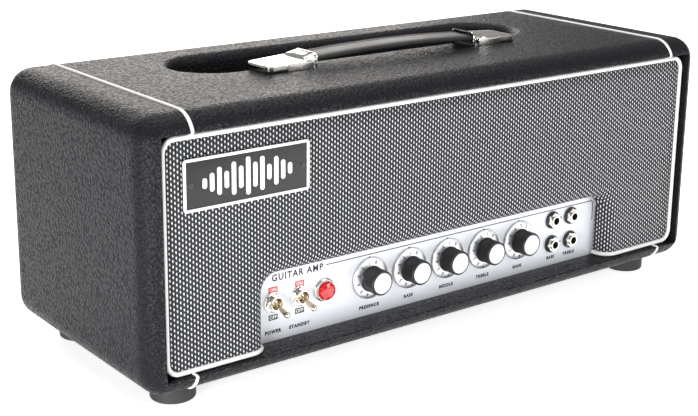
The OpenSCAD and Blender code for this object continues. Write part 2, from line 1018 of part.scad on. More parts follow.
// The rotating spindle of a control, with the wiper disc at its inner end
module shaft(x) {
    union() {
        rod_y(x, shaft_tip_y, chassis_y + sheet_t + 4, control_axis_z, shaft_r);
        rod_y(x, chassis_y + sheet_t + 4, chassis_y + sheet_t + 6, control_axis_z, pot_r - 3);
    }
}

module shaft_presence() {
    color("silver")
        shaft(knob_x[0]);
}

module shaft_bass() {
    color("silver")
        shaft(knob_x[1]);
}

module shaft_middle() {
    color("silver")
        shaft(knob_x[2]);
}

module shaft_treble() {
    color("silver")
        shaft(knob_x[3]);
}

module shaft_gain() {
    color("silver")
        shaft(knob_x[4]);
}

// The fixed housings of the five controls, with their bushings and solder tags
module pots() {
    back = chassis_y + sheet_t;
    color([0.7, 0.68, 0.6])
        for (x = knob_x)
            difference() {
                union() {
                    rod_y(x, back, back + pot_t, control_axis_z, pot_r);
                    rod_y(x, panel_y - nut_t - 0.5, back, control_axis_z, bushing_r);
                    for (i = [-1 : 1])
                        translate([x + i * 5, back + 1.5, control_axis_z - pot_r - 2])
                            cube([2, 0.8, 8], center = true);
                }
                rod_y(x, panel_y - nut_t - cut, back + 5, control_axis_z, shaft_r + shaft_fit);
                rod_y(x, back + 3, back + 7, control_axis_z, pot_r - 2);
            }
}

module pot_nuts() {
    color("silver")
        for (x = knob_x)
            difference() {
                hex_y(x, panel_y - nut_t, panel_y, control_axis_z, 12.6);
                rod_y(x, panel_y - nut_t - cut, panel_y + cut, control_axis_z, bushing_r);
            }
}

// Toggle switches: a box behind the panel and a hollow bushing through it
module switch_bodies() {
    back = chassis_y + sheet_t;
    color([0.35, 0.1, 0.08])
        for (x = switch_x)
            difference() {
                union() {
                    box([x - 8, back, control_axis_z - 14], [x + 8, back + 22, control_axis_z + 14]);
                    rod_y(x, panel_y - toggle_out, back, control_axis_z, toggle_bushing_r);
                    for (z = [-9, 0, 9])
                        box([x - 2.5, back + 22, control_axis_z + z - 0.4],
                            [x + 2.5, back + 29, control_axis_z + z + 0.4]);
                }
                cone_y(x, panel_y - toggle_out - cut, toggle_pivot_y, control_axis_z, 5.1, 3.6);
                rod_y(x, toggle_pivot_y, back, control_axis_z, 3.6);
                box([x - 3.6, back - cut, control_axis_z - 8], [x + 3.6, back + 14, control_axis_z + 8]);
            }
}

module switch_nuts() {
    color([0.8, 0.8, 0.78])
        for (x = switch_x)
            difference() {
                union() {
                    rod_y(x, panel_y - 1, panel_y, control_axis_z, 8.6);
                    cone_y(x, panel_y - 3.4, panel_y - 2.6, control_axis_z, 6.6, 7.2);
                    rod_y(x, panel_y - 2.6, panel_y - 1, control_axis_z, 7.2);
                }
                rod_y(x, panel_y - 4, panel_y + cut, control_axis_z, toggle_bushing_r);
            }
}

// A bat lever on its ball, tilted down, with its tail inside the switch
module lever(x) {
    translate([x, toggle_pivot_y, control_axis_z])
        rotate([toggle_tilt, 0, 0])
            union() {
                sphere(3.3);
                rod_y(0, -lever_len + 2.5, -2, 0, 1.6);
                cone_y(0, -lever_len + 2.5, -8, 0, 2.5, 1.6);
                translate([0, -lever_len + 2.5, 0])
                    sphere(2.5);
                rod_y(0, 0, 12, 0, 1.4);
            }
}

module power_lever() {
    color([0.85, 0.85, 0.84])
        lever(switch_x[0]);
}

module standby_lever() {
    color([0.85, 0.85, 0.84])
        lever(switch_x[1]);
}

module lamp_bezel() {
    color([0.85, 0.85, 0.84])
        difference() {
            union() {
                rod_y(lamp_x, panel_y - 2, panel_y, lamp_z, bezel_r);
                cone_y(lamp_x, panel_y - 4, panel_y - 2, lamp_z, bezel_r - 0.9, bezel_r);
            }
            rod_y(lamp_x, panel_y - 4 - cut, panel_y + cut, lamp_z, 6.5);
            rod_y(lamp_x, panel_y - 4 - cut, panel_y - 1.2, lamp_z, 8);
        }
}

// Faceted jewel: a disc with a ten-sided sloping crown
module lamp_lens() {
    color("red")
        union() {
            rod_y(lamp_x, panel_y - 4.6, panel_y - 1.2, lamp_z, 8);
            translate([lamp_x, panel_y - 4.6, lamp_z])
                rotate([90, 0, 0])
                    cylinder(h = 3.4, r1 = 8, r2 = 4.6, $fn = 10);
        }
}

module lamp_holder() {
    back = chassis_y + sheet_t;
    color([0.75, 0.72, 0.6])
        difference() {
            union() {
                rod_y(lamp_x, panel_y - 1.2, back, lamp_z, 6.5);
                rod_y(lamp_x, back, back + 3, lamp_z, 9);
                rod_y(lamp_x, back + 3, back + 20, lamp_z, 5.5);
            }
            rod_y(lamp_x, panel_y - 2, back + 16, lamp_z, 4.6);
        }
}

// A jack socket: threaded bushing and housing with one long bore
module jack(x, z, face, way) {
    back = chassis_y + sheet_t;
    translate([x, face, z])
        rotate([0, 0, way])
            difference() {
                union() {
                    rod_y(0, -jack_out, panel_t + sheet_t, 0, jack_bushing_r);
                    box([-8, panel_t + sheet_t, -9], [8, panel_t + sheet_t + 24, 9]);
                }
                rod_y(0, -jack_out - cut, panel_t + sheet_t + 20, 0, plug_hole_r);
            }
}

module input_jacks() {
    color([0.6, 0.6, 0.58])
        for (x = jack_xs)
            for (z = jack_zs)
                jack(x, z, panel_y, 0);
}

module jack_washers() {
    color([0.05, 0.05, 0.05])
        union() {
            for (x = jack_xs)
                for (z = jack_zs)
                    difference() {
                        rod_y(x, panel_y - washer_t, panel_y, z, 8);
                        rod_y(x, panel_y - washer_t - cut, panel_y + cut, z, jack_bushing_r);
                    }
            for (x = speaker_x)
                difference() {
                    rod_y(x, rear_panel_y, rear_panel_y + washer_t, rear_axis_z, 8);
                    rod_y(x, rear_panel_y - cut, rear_panel_y + washer_t + cut, rear_axis_z,
                          jack_bushing_r);
                }
        }
}

module jack_nuts() {
    color([0.8, 0.8, 0.78])
        union() {
            for (x = jack_xs)
                for (z = jack_zs)
                    difference() {
                        hex_y(x, panel_y - washer_t - jack_nut_t, panel_y - washer_t, z, 12.4);
                        rod_y(x, panel_y - 9, panel_y + cut, z, jack_bushing_r);
                    }
            for (x = speaker_x)
                difference() {
                    hex_y(x, rear_panel_y + washer_t, rear_panel_y + washer_t + jack_nut_t,
                          rear_axis_z, 12.4);
                    rod_y(x, rear_panel_y, rear_panel_y + 9, rear_axis_z, jack_bushing_r);
                }
        }
}

// ---------------------------------------------------------------- rear

// Openings of the rear connections through the rear panel and the chassis
module rear_holes() {
    y0 = chassis_rear_y - sheet_t - cut;
    y1 = rear_panel_y + cut;
    box([inlet_x - 14, y0, rear_axis_z - 10], [inlet_x + 14, y1, rear_axis_z + 10]);
    for (x = fuse_x)
        rod_y(x, y0, y1, rear_axis_z, 6.2);
    for (x = speaker_x)
        rod_y(x, y0, y1, rear_axis_z, jack_bushing_r);
}

module rear_panel() {
    color([0.88, 0.88, 0.89])
        difference() {
            box([-chassis_w / 2, chassis_rear_y, floor_z],
                [chassis_w / 2, rear_panel_y, deck_z - 1]);
            rear_holes();
        }
}

// Three-pole mains inlet with a recessed socket and three flat pins
module mains_inlet() {
    y1 = rear_panel_y;
    color([0.08, 0.08, 0.08])
        union() {
            difference() {
                union() {
                    box([inlet_x - 20, y1, rear_axis_z - 12], [inlet_x + 20, y1 + 3, rear_axis_z + 12]);
                    box([inlet_x - 14, y1 - 24, rear_axis_z - 10], [inlet_x + 14, y1, rear_axis_z + 10]);
                }
                box([inlet_x - 12.2, y1 - 15, rear_axis_z - 8.2],
                    [inlet_x + 12.2, y1 + 3 + cut, rear_axis_z + 8.2]);
            }
            for (p = [[-7, -1.5], [7, -1.5], [0, 2.5]])
                box([inlet_x + p[0] - 1, y1 - 15, rear_axis_z + p[1] - 2],
                    [inlet_x + p[0] + 1, y1 + 1, rear_axis_z + p[1] + 2]);
        }
}

module fuse_holders() {
    y1 = rear_panel_y;
    color([0.08, 0.08, 0.08])
        for (x = fuse_x)
            difference() {
                union() {
                    rod_y(x, y1, y1 + 2.5, rear_axis_z, 8.6);
                    rod_y(x, y1 + 2.5, y1 + 12, rear_axis_z, 6.4);
                    rod_y(x, y1 - 30, y1, rear_axis_z, 6.2);
                }
                box([x - 4.4, y1 + 10.6, rear_axis_z - 0.6], [x + 4.4, y1 + 12 + cut, rear_axis_z + 0.6]);
            }
}

module speaker_jacks() {
    color([0.6, 0.6, 0.58])
        for (x = speaker_x)
            jack(x, rear_axis_z, rear_panel_y, 180);
}

// Upper back board with a vent opening and a cut-out for the rear panel
module back_board() {
    color([0.14, 0.14, 0.15])
        difference() {
            box([-open_w / 2 + 1, back_board_y, floor_z + 0.5],
                [open_w / 2 - 1, back_board_y + back_board_t, ceiling_z - 1]);
            box([-chassis_w / 2 - 1.5, back_board_y - cut, floor_z - cut],
                [chassis_w / 2 + 1.5, back_board_y + back_board_t + cut, deck_z + 1.5]);
            vent_window(back_board_y - cut, back_board_y + back_board_t + cut, 0);
            back_screw_places()
                rod_y(0, back_board_y - cut, back_board_y + back_board_t + cut, 0, screw_r);
        }
}

module vent_window(y0, y1, grow) {
    w = open_w * 0.56;
    h = (ceiling_z - deck_z) * 0.5;
    z = (ceiling_z + deck_z) / 2;
    box([-w / 2 - grow, y0, z - h / 2 - grow], [w / 2 + grow, y1, z + h / 2 + grow]);
}

// Steel vent: a rim and upright bars behind the back board
module vent_mesh() {
    w = open_w * 0.56;
    h = (ceiling_z - deck_z) * 0.5;
    z = (ceiling_z + deck_z) / 2;
    bars = 36;
    step = w / bars;
    y0 = back_board_y - sheet_t;
    color([0.2, 0.2, 0.2])
        difference() {
            vent_window(y0, back_board_y, 8);
            for (i = [0 : bars - 1])
                box([-w / 2 + i * step + 1, y0 - cut, z - h / 2],
                    [-w / 2 + (i + 1) * step - 1, back_board_y + cut, z + h / 2]);
        }
}

module back_screw_places() {
    for (i = [-1, 1])
        for (z = [deck_z + 15, ceiling_z - 30])
            translate([i * (open_w / 2 - 10), 0, z])
                children();
}

module back_screws() {
    y1 = back_board_y + back_board_t;
    color([0.75, 0.75, 0.75])
        back_screw_places()
            union() {
                rod_y(0, back_board_y - 10, y1, 0, screw_r);
                cone_y(0, y1, y1 + 1.8, 0, screw_head_r + 1, screw_head_r - 1);
            }
}

// ---------------------------------------------------------------- inside

// Width, depth and height of each iron core, with its place on the deck
cores = [[96, 52, 80, -130, 20], [80, 46, 68, 130, 20], [50, 30, 42, 60, -45]];
leg_share = 0.17;

module transformer_cores() {
    color([0.25, 0.25, 0.27])
        for (c = cores)
            translate([c[3], c[4], deck_z])
                difference() {
                    translate([-c[0] / 2, -c[1] / 2, 0])
                        cube([c[0], c[1], c[2]]);
                    for (i = [-1, 1])
                        translate([i * c[0] * (0.25 + leg_share / 4) - c[0] * 0.08, -c[1],
                                   c[2] * leg_share])
                            cube([c[0] * 0.16, 2 * c[1], c[2] * (1 - 2 * leg_share)]);
                }
}

module transformer_coils() {
    color([0.75, 0.6, 0.2])
        for (c = cores) {
            inner = 2 * (c[0] * (0.25 + leg_share / 4) - c[0] * 0.08);
            outer = inner + 2 * c[0] * 0.16;
            low = c[2] * leg_share;
            translate([c[3], c[4], deck_z + low])
                difference() {
                    translate([-outer / 2, -c[1] / 2 - 9, 0])
                        cube([outer, c[1] + 18, c[2] - 2 * low]);
                    translate([-inner / 2, -c[1] / 2, -cut])
                        cube([inner, c[1], c[2]]);
                }
        }
}

power_places = [for (i = [0 : 3]) [-60 + i * 42, 62]];
preamp_places = [for (i = [0 : 2]) [-60 + i * 32, -52]];

module socket_places() {
    for (p = concat(power_places, preamp_places))
        translate([p[0], p[1], 0])
            children();
}

module valve_sockets() {
    color([0.85, 0.82, 0.75])
        union() {
            for (p = power_places)
                translate([p[0], p[1], deck_z])
                    valve_socket(16);
            for (p = preamp_places)
                translate([p[0], p[1], deck_z])
                    valve_socket(11.5);
        }
}

module valve_socket(r) {
    difference() {
        union() {
            cylinder(h = 5, r = r);
            translate([0, 0, -9])
                cylinder(h = 9, r = 9);
        }
        translate([0, 0, 2])
            cylinder(h = 3 + cut, r = r - 2);
    }
}

// A glass bulb on its base, standing in its socket
module valve(p, r, h, base_r, base_h) {
    translate([p[0], p[1], deck_z + 2])
        union() {
            cylinder(h = base_h, r = base_r);
            translate([0, 0, base_h])
                cylinder(h = h - base_h - r, r = r);
            translate([0, 0, h - r])
                sphere(r);
        }
}

module power_valves() {
    color([0.8, 0.85, 0.88])
        for (p = power_places)
            valve(p, 15.5, 92, 14, 18);
}

module preamp_valves() {
    color([0.8, 0.85, 0.88])
        for (p = preamp_places)
            valve(p, 10, 52, 9.5, 6);
}

module filter_capacitors() {
    color([0.2, 0.3, 0.6])
        for (x = [-160, -120, 110, 150])
            translate([x, -52, deck_z])
                cylinder(h = 62, r = 17);
}

// Circuit board hung under the deck on four posts, with its two rows of parts
module circuit_board() {
    low = deck_z - 22;
    color([0.1, 0.4, 0.2])
        union() {
            box([-140, -20, low], [140, 50, low + 1.6]);
            for (x = [-132, 132])
                for (y = [-12, 42])
                    translate([x, y, low + 1.6])
                        cylinder(h = deck_z - sheet_t - low - 1.6, r = 3);
            for (i = [-4 : 4])
                for (y = [0, 30])
                    translate([i * 26, y, low])
                        rotate([0, 180, 0])
                            cylinder(h = 12, r = 5);
        }
}

// ---------------------------------------------------------------- output

top_board();
bottom_board();
left_board();
right_board();
vinyl_covering();
cabinet_piping();
handle_well();
cleats();
feet();
foot_screws();
grille_board();
grille_cloth();
grille_piping();
grille_screws();
badge_plate();
badge_emblem();
badge_screws();
handle_strap();
handle_caps();
handle_plates();
handle_screws();
control_panel();
chassis();
chassis_bolts();
knob_presence();
knob_bass();
knob_middle();
knob_treble();
knob_gain();
shaft_presence();
shaft_bass();
shaft_middle();
shaft_treble();
shaft_gain();
pots();
pot_nuts();
switch_bodies();
switch_nuts();
power_lever();
standby_lever();
lamp_bezel();
lamp_lens();
lamp_holder();
input_jacks();
jack_washers();
jack_nuts();
back_board();
vent_mesh();
back_screws();
rear_panel();
mains_inlet();
fuse_holders();
speaker_jacks();
transformer_cores();
transformer_coils();
power_valves();
preamp_valves();
valve_sockets();
filter_capacitors();
circuit_board();
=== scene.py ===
import math

import bpy
import numpy as np
from mathutils import Matrix, Vector


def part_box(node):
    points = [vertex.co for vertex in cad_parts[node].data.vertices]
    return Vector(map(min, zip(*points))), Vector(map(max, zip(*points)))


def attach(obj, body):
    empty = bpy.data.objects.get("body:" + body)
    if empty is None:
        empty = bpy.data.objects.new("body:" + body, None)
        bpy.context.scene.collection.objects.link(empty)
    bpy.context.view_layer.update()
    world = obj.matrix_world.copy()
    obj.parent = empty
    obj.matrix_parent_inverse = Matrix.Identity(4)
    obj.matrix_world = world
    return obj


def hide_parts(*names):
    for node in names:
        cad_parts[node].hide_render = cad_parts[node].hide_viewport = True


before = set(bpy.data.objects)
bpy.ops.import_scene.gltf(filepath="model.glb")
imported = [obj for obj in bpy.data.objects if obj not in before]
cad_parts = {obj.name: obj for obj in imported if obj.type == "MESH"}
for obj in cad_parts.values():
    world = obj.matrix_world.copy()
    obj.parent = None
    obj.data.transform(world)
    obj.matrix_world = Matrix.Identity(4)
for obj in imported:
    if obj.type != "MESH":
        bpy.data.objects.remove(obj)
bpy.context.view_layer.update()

MM = 0.001
TAU = 2 * math.pi

# ------------------------------------------------------------------ places taken from the frame

SKIN_LOW, SKIN_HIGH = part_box("vinyl_covering")
PANEL_LOW, PANEL_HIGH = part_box("control_panel")
CLOTH_LOW, CLOTH_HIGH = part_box("grille_cloth")
REAR_LOW, REAR_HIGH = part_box("rear_panel")
STRAP_LOW, STRAP_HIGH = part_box("handle_strap")
CAPS_LOW, CAPS_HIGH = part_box("handle_caps")
_, FEET_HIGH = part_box("feet")
_, PIPING_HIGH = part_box("cabinet_piping")
BADGE_LOW, BADGE_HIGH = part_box("badge_plate")
LENS_LOW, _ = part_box("lamp_lens")
BEZEL_LOW, BEZEL_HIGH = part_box("lamp_bezel")

# Cabinet
BOARD = 14.4 * MM
EDGE_R = 20 * MM
SKIN_T = 0.8 * MM
HALF_W = SKIN_HIGH.x
BASE, TOP = SKIN_LOW.z, SKIN_HIGH.z
HALF_D = 117.5 * MM
FRONT, REAR = -HALF_D, HALF_D
FLOOR_Z, CEILING_Z = BASE + BOARD, TOP - BOARD
PIPING_X = PIPING_HIGH.x - 1.5 * MM
MID_Z = (BASE + TOP) / 2

# Handle well
WELL_Y = 32.5 * MM
WELL_END_X = 146.5 * MM
WELL_LIP_R = 45.7 * MM
WELL_TOP_R = 43.5 * MM
WELL_RIM_R = 8 * MM
WELL_IN_R = WELL_TOP_R - WELL_RIM_R
WELL_DEPTH = 24 * MM

# Grille
CLOTH_Y = CLOTH_LOW.y
CLOTH_X = CLOTH_HIGH.x
CLOTH_TOP, CLOTH_BASE = CLOTH_HIGH.z, CLOTH_LOW.z
BEAD_R = 2 * MM
RECESS_HALF = 190 * MM
RECESS_TOP = FLOOR_Z + 60.6 * MM
RECESS_EDGE_R = 12 * MM
RECESS_CORNER_R = 14 * MM
CLOTH_T = 0.8 * MM
BOARD_CORNER_R = 8 * MM
BAFFLE_BACK = FRONT + 23.5 * MM

# Control panel
PANEL_Y = PANEL_LOW.y
CONTROL_Z = FLOOR_Z + 32.4 * MM
LABEL_Z = 38 * MM
JACK_XS = (134.1 * MM, 157.6 * MM)
JACK_ZS = (51.0 * MM, 73.8 * MM)
OUTPUT_XS = (96 * MM, 126 * MM)
OUTPUT_Z = FLOOR_Z + 32 * MM

# Controls from left to right, with the figure that each one points at
CONTROLS = {"presence": 0.6, "bass": 0.8, "middle": 1.0, "treble": 1.2, "gain": 3.0}


def centre_of(node):
    """Middle of a CAD node's box."""
    low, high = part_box(node)
    return (low + high) / 2


# ------------------------------------------------------------------ shader maths


def math_node(tree, operation, *values):
    """A Math node of the values, each of which is a Val or a number."""
    node = tree.nodes.new("ShaderNodeMath")
    node.operation = operation
    for k, value in enumerate(values):
        if isinstance(value, Val):
            tree.links.new(value.socket, node.inputs[k])
        else:
            node.inputs[k].default_value = value
    return Val(tree, node.outputs[0])


def operator(operation, turned=False):
    """A method that adds one Math node; turned puts the other value first."""

    def method(self, other):
        """The node of this value and another."""
        values = (other, self) if turned else (self, other)
        return math_node(self.tree, operation, *values)
    return method


class Val:
    """A shader value. Python arithmetic on it adds Math nodes."""

    def __init__(self, tree, socket):
        self.tree = tree
        self.socket = socket

    def math(self, operation, *others):
        """A Math node whose first input is this value."""
        return math_node(self.tree, operation, self, *others)

    __add__ = __radd__ = operator("ADD")
    __mul__ = __rmul__ = operator("MULTIPLY")
    __sub__, __rsub__ = operator("SUBTRACT"), operator("SUBTRACT", True)
    __truediv__, __rtruediv__ = operator("DIVIDE"), operator("DIVIDE", True)
    __lt__, __gt__ = operator("LESS_THAN"), operator("GREATER_THAN")


class Finish:
    """A material in the making: its node tree, and short ways to add nodes to it."""

    def __init__(self, name, colour, **sockets):
        self.material = bpy.data.materials.new(name)
        self.material.use_nodes = True
        self.material.diffuse_color = (*colour, 1)
        self.tree = self.material.node_tree
        self.shader = self.tree.nodes["Principled BSDF"]
        self.shader.inputs["Base Color"].default_value = (*colour, 1)
        for key, value in sockets.items():
            self.shader.inputs[key.replace("_", " ")].default_value = value

    def node(self, kind, settings=None, inputs=None, out=0):
        """Adds a node: settings first, then inputs by name or number. Gives one output."""
        made = self.tree.nodes.new(kind)
        for key, value in (settings or {}).items():
            setattr(made, key, value)
        for key, value in (inputs or {}).items():
            if isinstance(value, Val):
                self.tree.links.new(value.socket, made.inputs[key])
            else:
                made.inputs[key].default_value = value
        return Val(self.tree, made.outputs[out])

    def feed(self, socket, value):
        """Drives one of the shader's inputs."""
        self.tree.links.new(value.socket, self.shader.inputs[socket])

    def place(self):
        """The point in the row frame, in metres."""
        return self.node("ShaderNodeTexCoord", out=3)

    def own_uv(self):
        """The point on the piece's own map."""
        return self.node("ShaderNodeUVMap", {"uv_map": "UVMap"})

    def parts(self, vector):
        """The three parts of a vector."""
        first = self.node("ShaderNodeSeparateXYZ", inputs={0: vector})
        return [Val(self.tree, output) for output in first.socket.node.outputs]

    def noise(self, scale, detail=3.0, roughness=0.55, at=None):
        """Soft noise; scale is in waves per metre."""
        return self.node("ShaderNodeTexNoise", inputs={
            "Vector": at or self.place(), "Scale": scale, "Detail": detail,
            "Roughness": roughness})

    def cells(self, scale, feature="F1", at=None):
        """Distance to the nearest of scattered points; scale is in cells per metre."""
        return self.node("ShaderNodeTexVoronoi", {"feature": feature}, {
            "Vector": at or self.place(), "Scale": scale})

    def stretched(self, *shares):
        """The place with each axis scaled, for streaks and grain."""
        return self.node("ShaderNodeVectorMath", {"operation": "MULTIPLY"},
                         {0: self.place(), 1: shares})

    def between(self, value, low, high):
        """0 below low and 1 above high, with a smooth step from one to the other."""
        return self.node("ShaderNodeMapRange", {"interpolation_type": "SMOOTHSTEP"},
                         {0: value, 1: low, 2: high})

    def blend(self, factor, a, b):
        """A colour between a and b."""
        a, b = [colour if isinstance(colour, Val) else (*colour, 1) for colour in (a, b)]
        return self.node("ShaderNodeMix", {"data_type": "RGBA"}, {0: factor, 6: a, 7: b}, 2)

    def bump(self, height, strength=0.5, distance=0.2 * MM):
        """Raises the surface by a height, given in shares of the distance."""
        self.feed("Normal", self.node("ShaderNodeBump", inputs={
            "Strength": strength, "Distance": distance, "Height": height}))


def scaled(colour, share):
    """Every channel times the share."""
    return tuple(c * share for c in colour)


# ------------------------------------------------------------------ finishes


def vinyl_finish():
    """Black pebbled cabinet vinyl: small round pebbles with creases, painted shade in the hollows
    between pebbles, worn pale at the folds.
    """
    f = Finish("cabinet_vinyl", (0.03, 0.03, 0.032), Roughness=0.5)
    at = f.node("ShaderNodeVectorMath", {"operation": "ADD"}, {
        0: f.place(), 1: f.node("ShaderNodeVectorMath", {"operation": "SCALE"}, {
            0: f.node("ShaderNodeTexNoise", inputs={"Vector": f.place(), "Scale": 300.0,
                                                    "Detail": 2.0}, out=1), 3: 1.1 * MM})})
    pebble = f.cells(400, "F1", at)
    small = f.cells(1150, "F1", at)
    swell = f.noise(210, 3, 0.6)
    height = (1 - pebble * pebble) * 0.8 + (1 - small) * 0.25 + swell * 0.2
    f.bump(height, 1.0, 0.72 * MM)
    f.shader.inputs["Specular IOR Level"].default_value = 0.1
    broad = f.noise(14, 3)
    hollow_shade = f.between(pebble, 0.35, 0.75)
    tone = f.blend(broad, (0.0085, 0.0085, 0.011), (0.012, 0.012, 0.0145))
    # painted shade: the low hollows between the pebbles are darkened towards black
    tone = f.blend(hollow_shade * 0.6, tone, (0.004, 0.004, 0.005))
    wear = f.node("ShaderNodeAttribute", {"attribute_name": "fold_wear"}, out=2)
    rubbed = wear * f.between(f.noise(620, 4, 0.7), 0.52, 0.64)
    tone = f.blend(rubbed * 0.55, tone, (0.22, 0.21, 0.21))
    f.feed("Base Color", tone)
    f.feed("Roughness", 0.24 + hollow_shade * 0.2 + broad * 0.06)
    return f.material


def white_piping_finish():
    """White extruded plastic with a faint yellow and patches of grime."""
    f = Finish("white_piping", (0.8, 0.8, 0.78), Roughness=0.38)
    smear = f.noise(45, 4)
    grime = f.between(f.noise(240, 5, 0.7), 0.55, 0.8)
    tone = f.blend(smear, (0.83, 0.83, 0.81), (0.74, 0.73, 0.70))
    f.feed("Base Color", f.blend(grime * 0.16, tone, (0.40, 0.38, 0.35)))
    f.feed("Roughness", 0.3 + smear * 0.16)
    f.bump(f.noise(1400, 3), 0.18, 0.06 * MM)
    return f.material


def grille_cloth_finish():
    """Woven cloth: a black ground with white upright dashes in staggered columns.

    It is laid out on its own map, in metres of cloth. A column is one pitch wide and a row is
    one pitch high, and every second column is shifted by half a row. A dash is an oval whose
    lower end tapers."""
    f = Finish("grille_weave", (0.1, 0.1, 0.1), Roughness=0.8)
    wobble = f.noise(45, 2, at=f.own_uv())
    u, v, _ = f.parts(f.own_uv())
    u = u + (wobble - 0.5) * 0.5 * MM
    column = u / (2.83 * MM)
    odd = (column / 2).math("FRACT").math("GREATER_THAN", 0.5)
    row = v / (4.1 * MM) + odd * 0.5
    across = column.math("FRACT") - 0.5
    along = row.math("FRACT") - 0.5
    leaning = across + along * 0.14
    width = 0.215 + along * 0.15
    reach = (leaning / width).math("POWER", 2.0) + (along / 0.295).math("POWER", 2.0)
    dash = f.between(reach, 1.15, 0.7)
    rib = f.between(across.math("ABSOLUTE"), 0.5, 0.2)
    strand = ((v + u * 0.6) / (0.62 * MM)).math("FRACT")
    twist = f.between((strand - 0.5).math("ABSOLUTE"), 0.12, 0.5)
    fuzz = f.noise(2400, 2, at=f.own_uv())
    white = f.blend(twist * 0.35 + fuzz * 0.3, (0.78, 0.78, 0.80), (0.50, 0.50, 0.53))
    # painted sheen and shade: the black ground is lighter along the raised ribs, most on the strand
    # lines, and darkest between the columns
    black = f.blend(rib * (0.35 + 0.65 * twist), (0.004, 0.004, 0.005), (0.040, 0.040, 0.043))
    f.feed("Base Color", f.blend(dash, black, white))
    f.feed("Roughness", 0.85 - dash * 0.25)
    f.bump(dash * 0.9 + rib * 0.3 + twist * 0.12 + fuzz * 0.06, 0.75, 0.5 * MM)
    return f.material


def nickel_finish(name, bright, worn):
    """Bright nickel plate with fine wiping scratches and a faint warm cast."""
    f = Finish(name, bright, Metallic=1.0, Roughness=0.1)
    haze = f.noise(70, 4)
    scratch = f.noise(520, 3, 0.6, at=f.stretched(0.15, 1, 1))
    f.feed("Base Color", f.blend(haze, bright, worn))
    f.feed("Roughness", 0.07 + haze * 0.07 + f.between(scratch, 0.5, 0.8) * 0.09)
    f.bump(scratch, 0.06, 0.04 * MM)
    return f.material


def zinc_finish():
    """Zinc-plated steel: pale grey with a mottled spangle."""
    f = Finish("zinc_plate", (0.62, 0.62, 0.6), Metallic=1.0, Roughness=0.35)
    spangle = f.cells(260)
    f.feed("Base Color", f.blend(spangle, (0.66, 0.66, 0.64), (0.46, 0.47, 0.47)))
    f.feed("Roughness", 0.28 + spangle * 0.2)
    f.bump(f.noise(900, 3), 0.12, 0.05 * MM)
    return f.material


def panel_finish():
    """Satin anodised panel: near-white silver with a very fine even grain."""
    f = Finish("panel_silver", (0.78, 0.79, 0.81), Metallic=0.35, Roughness=0.42)
    grain = f.noise(2600, 2, 0.7)
    drift = f.noise(9, 2)
    tone = f.blend(drift, (0.80, 0.81, 0.84), (0.72, 0.735, 0.77))
    f.feed("Base Color", f.blend(grain * 0.2, tone, (0.60, 0.61, 0.64)))
    f.feed("Roughness", 0.36 + grain * 0.14)
    f.bump(grain, 0.12, 0.05 * MM)
    return f.material


def spun_aluminium_finish(name, colour, roughness):
    """Turned aluminium: fine rings round the axis. The map's V is the profile's length."""
    f = Finish(name, colour, Metallic=1.0, Roughness=roughness)
    _, v, _ = f.parts(f.own_uv())
    ring = f.node("ShaderNodeTexNoise", {"noise_dimensions": "1D"},
                  {"W": v * 9000, "Detail": 3.0, "Roughness": 0.7})
    dirt = f.noise(160, 4)
    f.feed("Base Color", f.blend(f.between(dirt, 0.45, 0.8) * 0.35, colour, scaled(colour, 0.72)))
    f.feed("Roughness", roughness - 0.06 + ring * 0.14 + dirt * 0.05)
    f.bump(ring, 0.16, 0.05 * MM)
    return f.material


def moulded_black_finish(name, tone=0.018, rough=0.3, grain=900):
    """Black moulded plastic: faint moulding texture and finger haze."""
    colour = (tone, tone, tone * 1.05)
    f = Finish(name, colour, Roughness=rough)
    haze = f.noise(90, 4)
    speck = f.noise(grain, 3, 0.6)
    f.feed("Base Color", f.blend(haze, scaled(colour, 0.8), scaled(colour, 1.7)))
    f.feed("Roughness", rough - 0.07 + haze * 0.16 + speck * 0.06)
    f.bump(speck, 0.14, 0.08 * MM)
    return f.material


def rubber_finish(name, tone, rough):
    """Black rubber: matt, with a dusty bloom and a fine tooth."""
    f = Finish(name, (tone, tone, tone), Roughness=rough)
    bloom = f.noise(55, 5)
    tooth = f.noise(1700, 3, 0.65)
    f.feed("Base Color", f.blend(f.between(bloom, 0.4, 0.8), (tone, tone, tone),
                                 (tone * 2.1, tone * 2.05, tone * 2.0)))
    f.feed("Roughness", rough - 0.08 + bloom * 0.2)
    f.bump(tooth, 0.25, 0.08 * MM)
    return f.material


def ink_finish(name, colour):
    """Screen-printed ink, slightly uneven where it took to the metal."""
    f = Finish(name, colour, Roughness=0.5)
    patch = f.noise(1100, 4, 0.7)
    f.feed("Base Color", f.blend(f.between(patch, 0.55, 0.8) * 0.3, colour,
                                 tuple(0.85 * c + 0.04 for c in colour)))
    f.feed("Roughness", 0.42 + patch * 0.16)
    return f.material


def jewel_finish():
    """Red moulded lens: deep colour with painted light in brighter red streaks, under a clear hard
    gloss; the lens also glows faintly, most in the streaks.
    """
    f = Finish("jewel_red", (0.6, 0.004, 0.008), Roughness=0.05)
    f.shader.inputs["Coat Weight"].default_value = 1.0
    f.shader.inputs["Coat Roughness"].default_value = 0.03
    swirl = f.noise(480, 2)
    glow = f.between(swirl, 0.42, 0.6)
    # painted light: the brighter red streaks stand for light seen inside the lens
    f.feed("Base Color", f.blend(glow, (0.36, 0.0, 0.003), (0.85, 0.012, 0.015)))
    f.feed("Roughness", 0.04 + swirl * 0.08)
    # the emission makes the lens glow faintly, most in the same streaks
    f.feed("Emission Color", f.blend(glow, (0.25, 0.0, 0.0), (1.0, 0.02, 0.015)))
    f.shader.inputs["Emission Strength"].default_value = 0.06
    return f.material


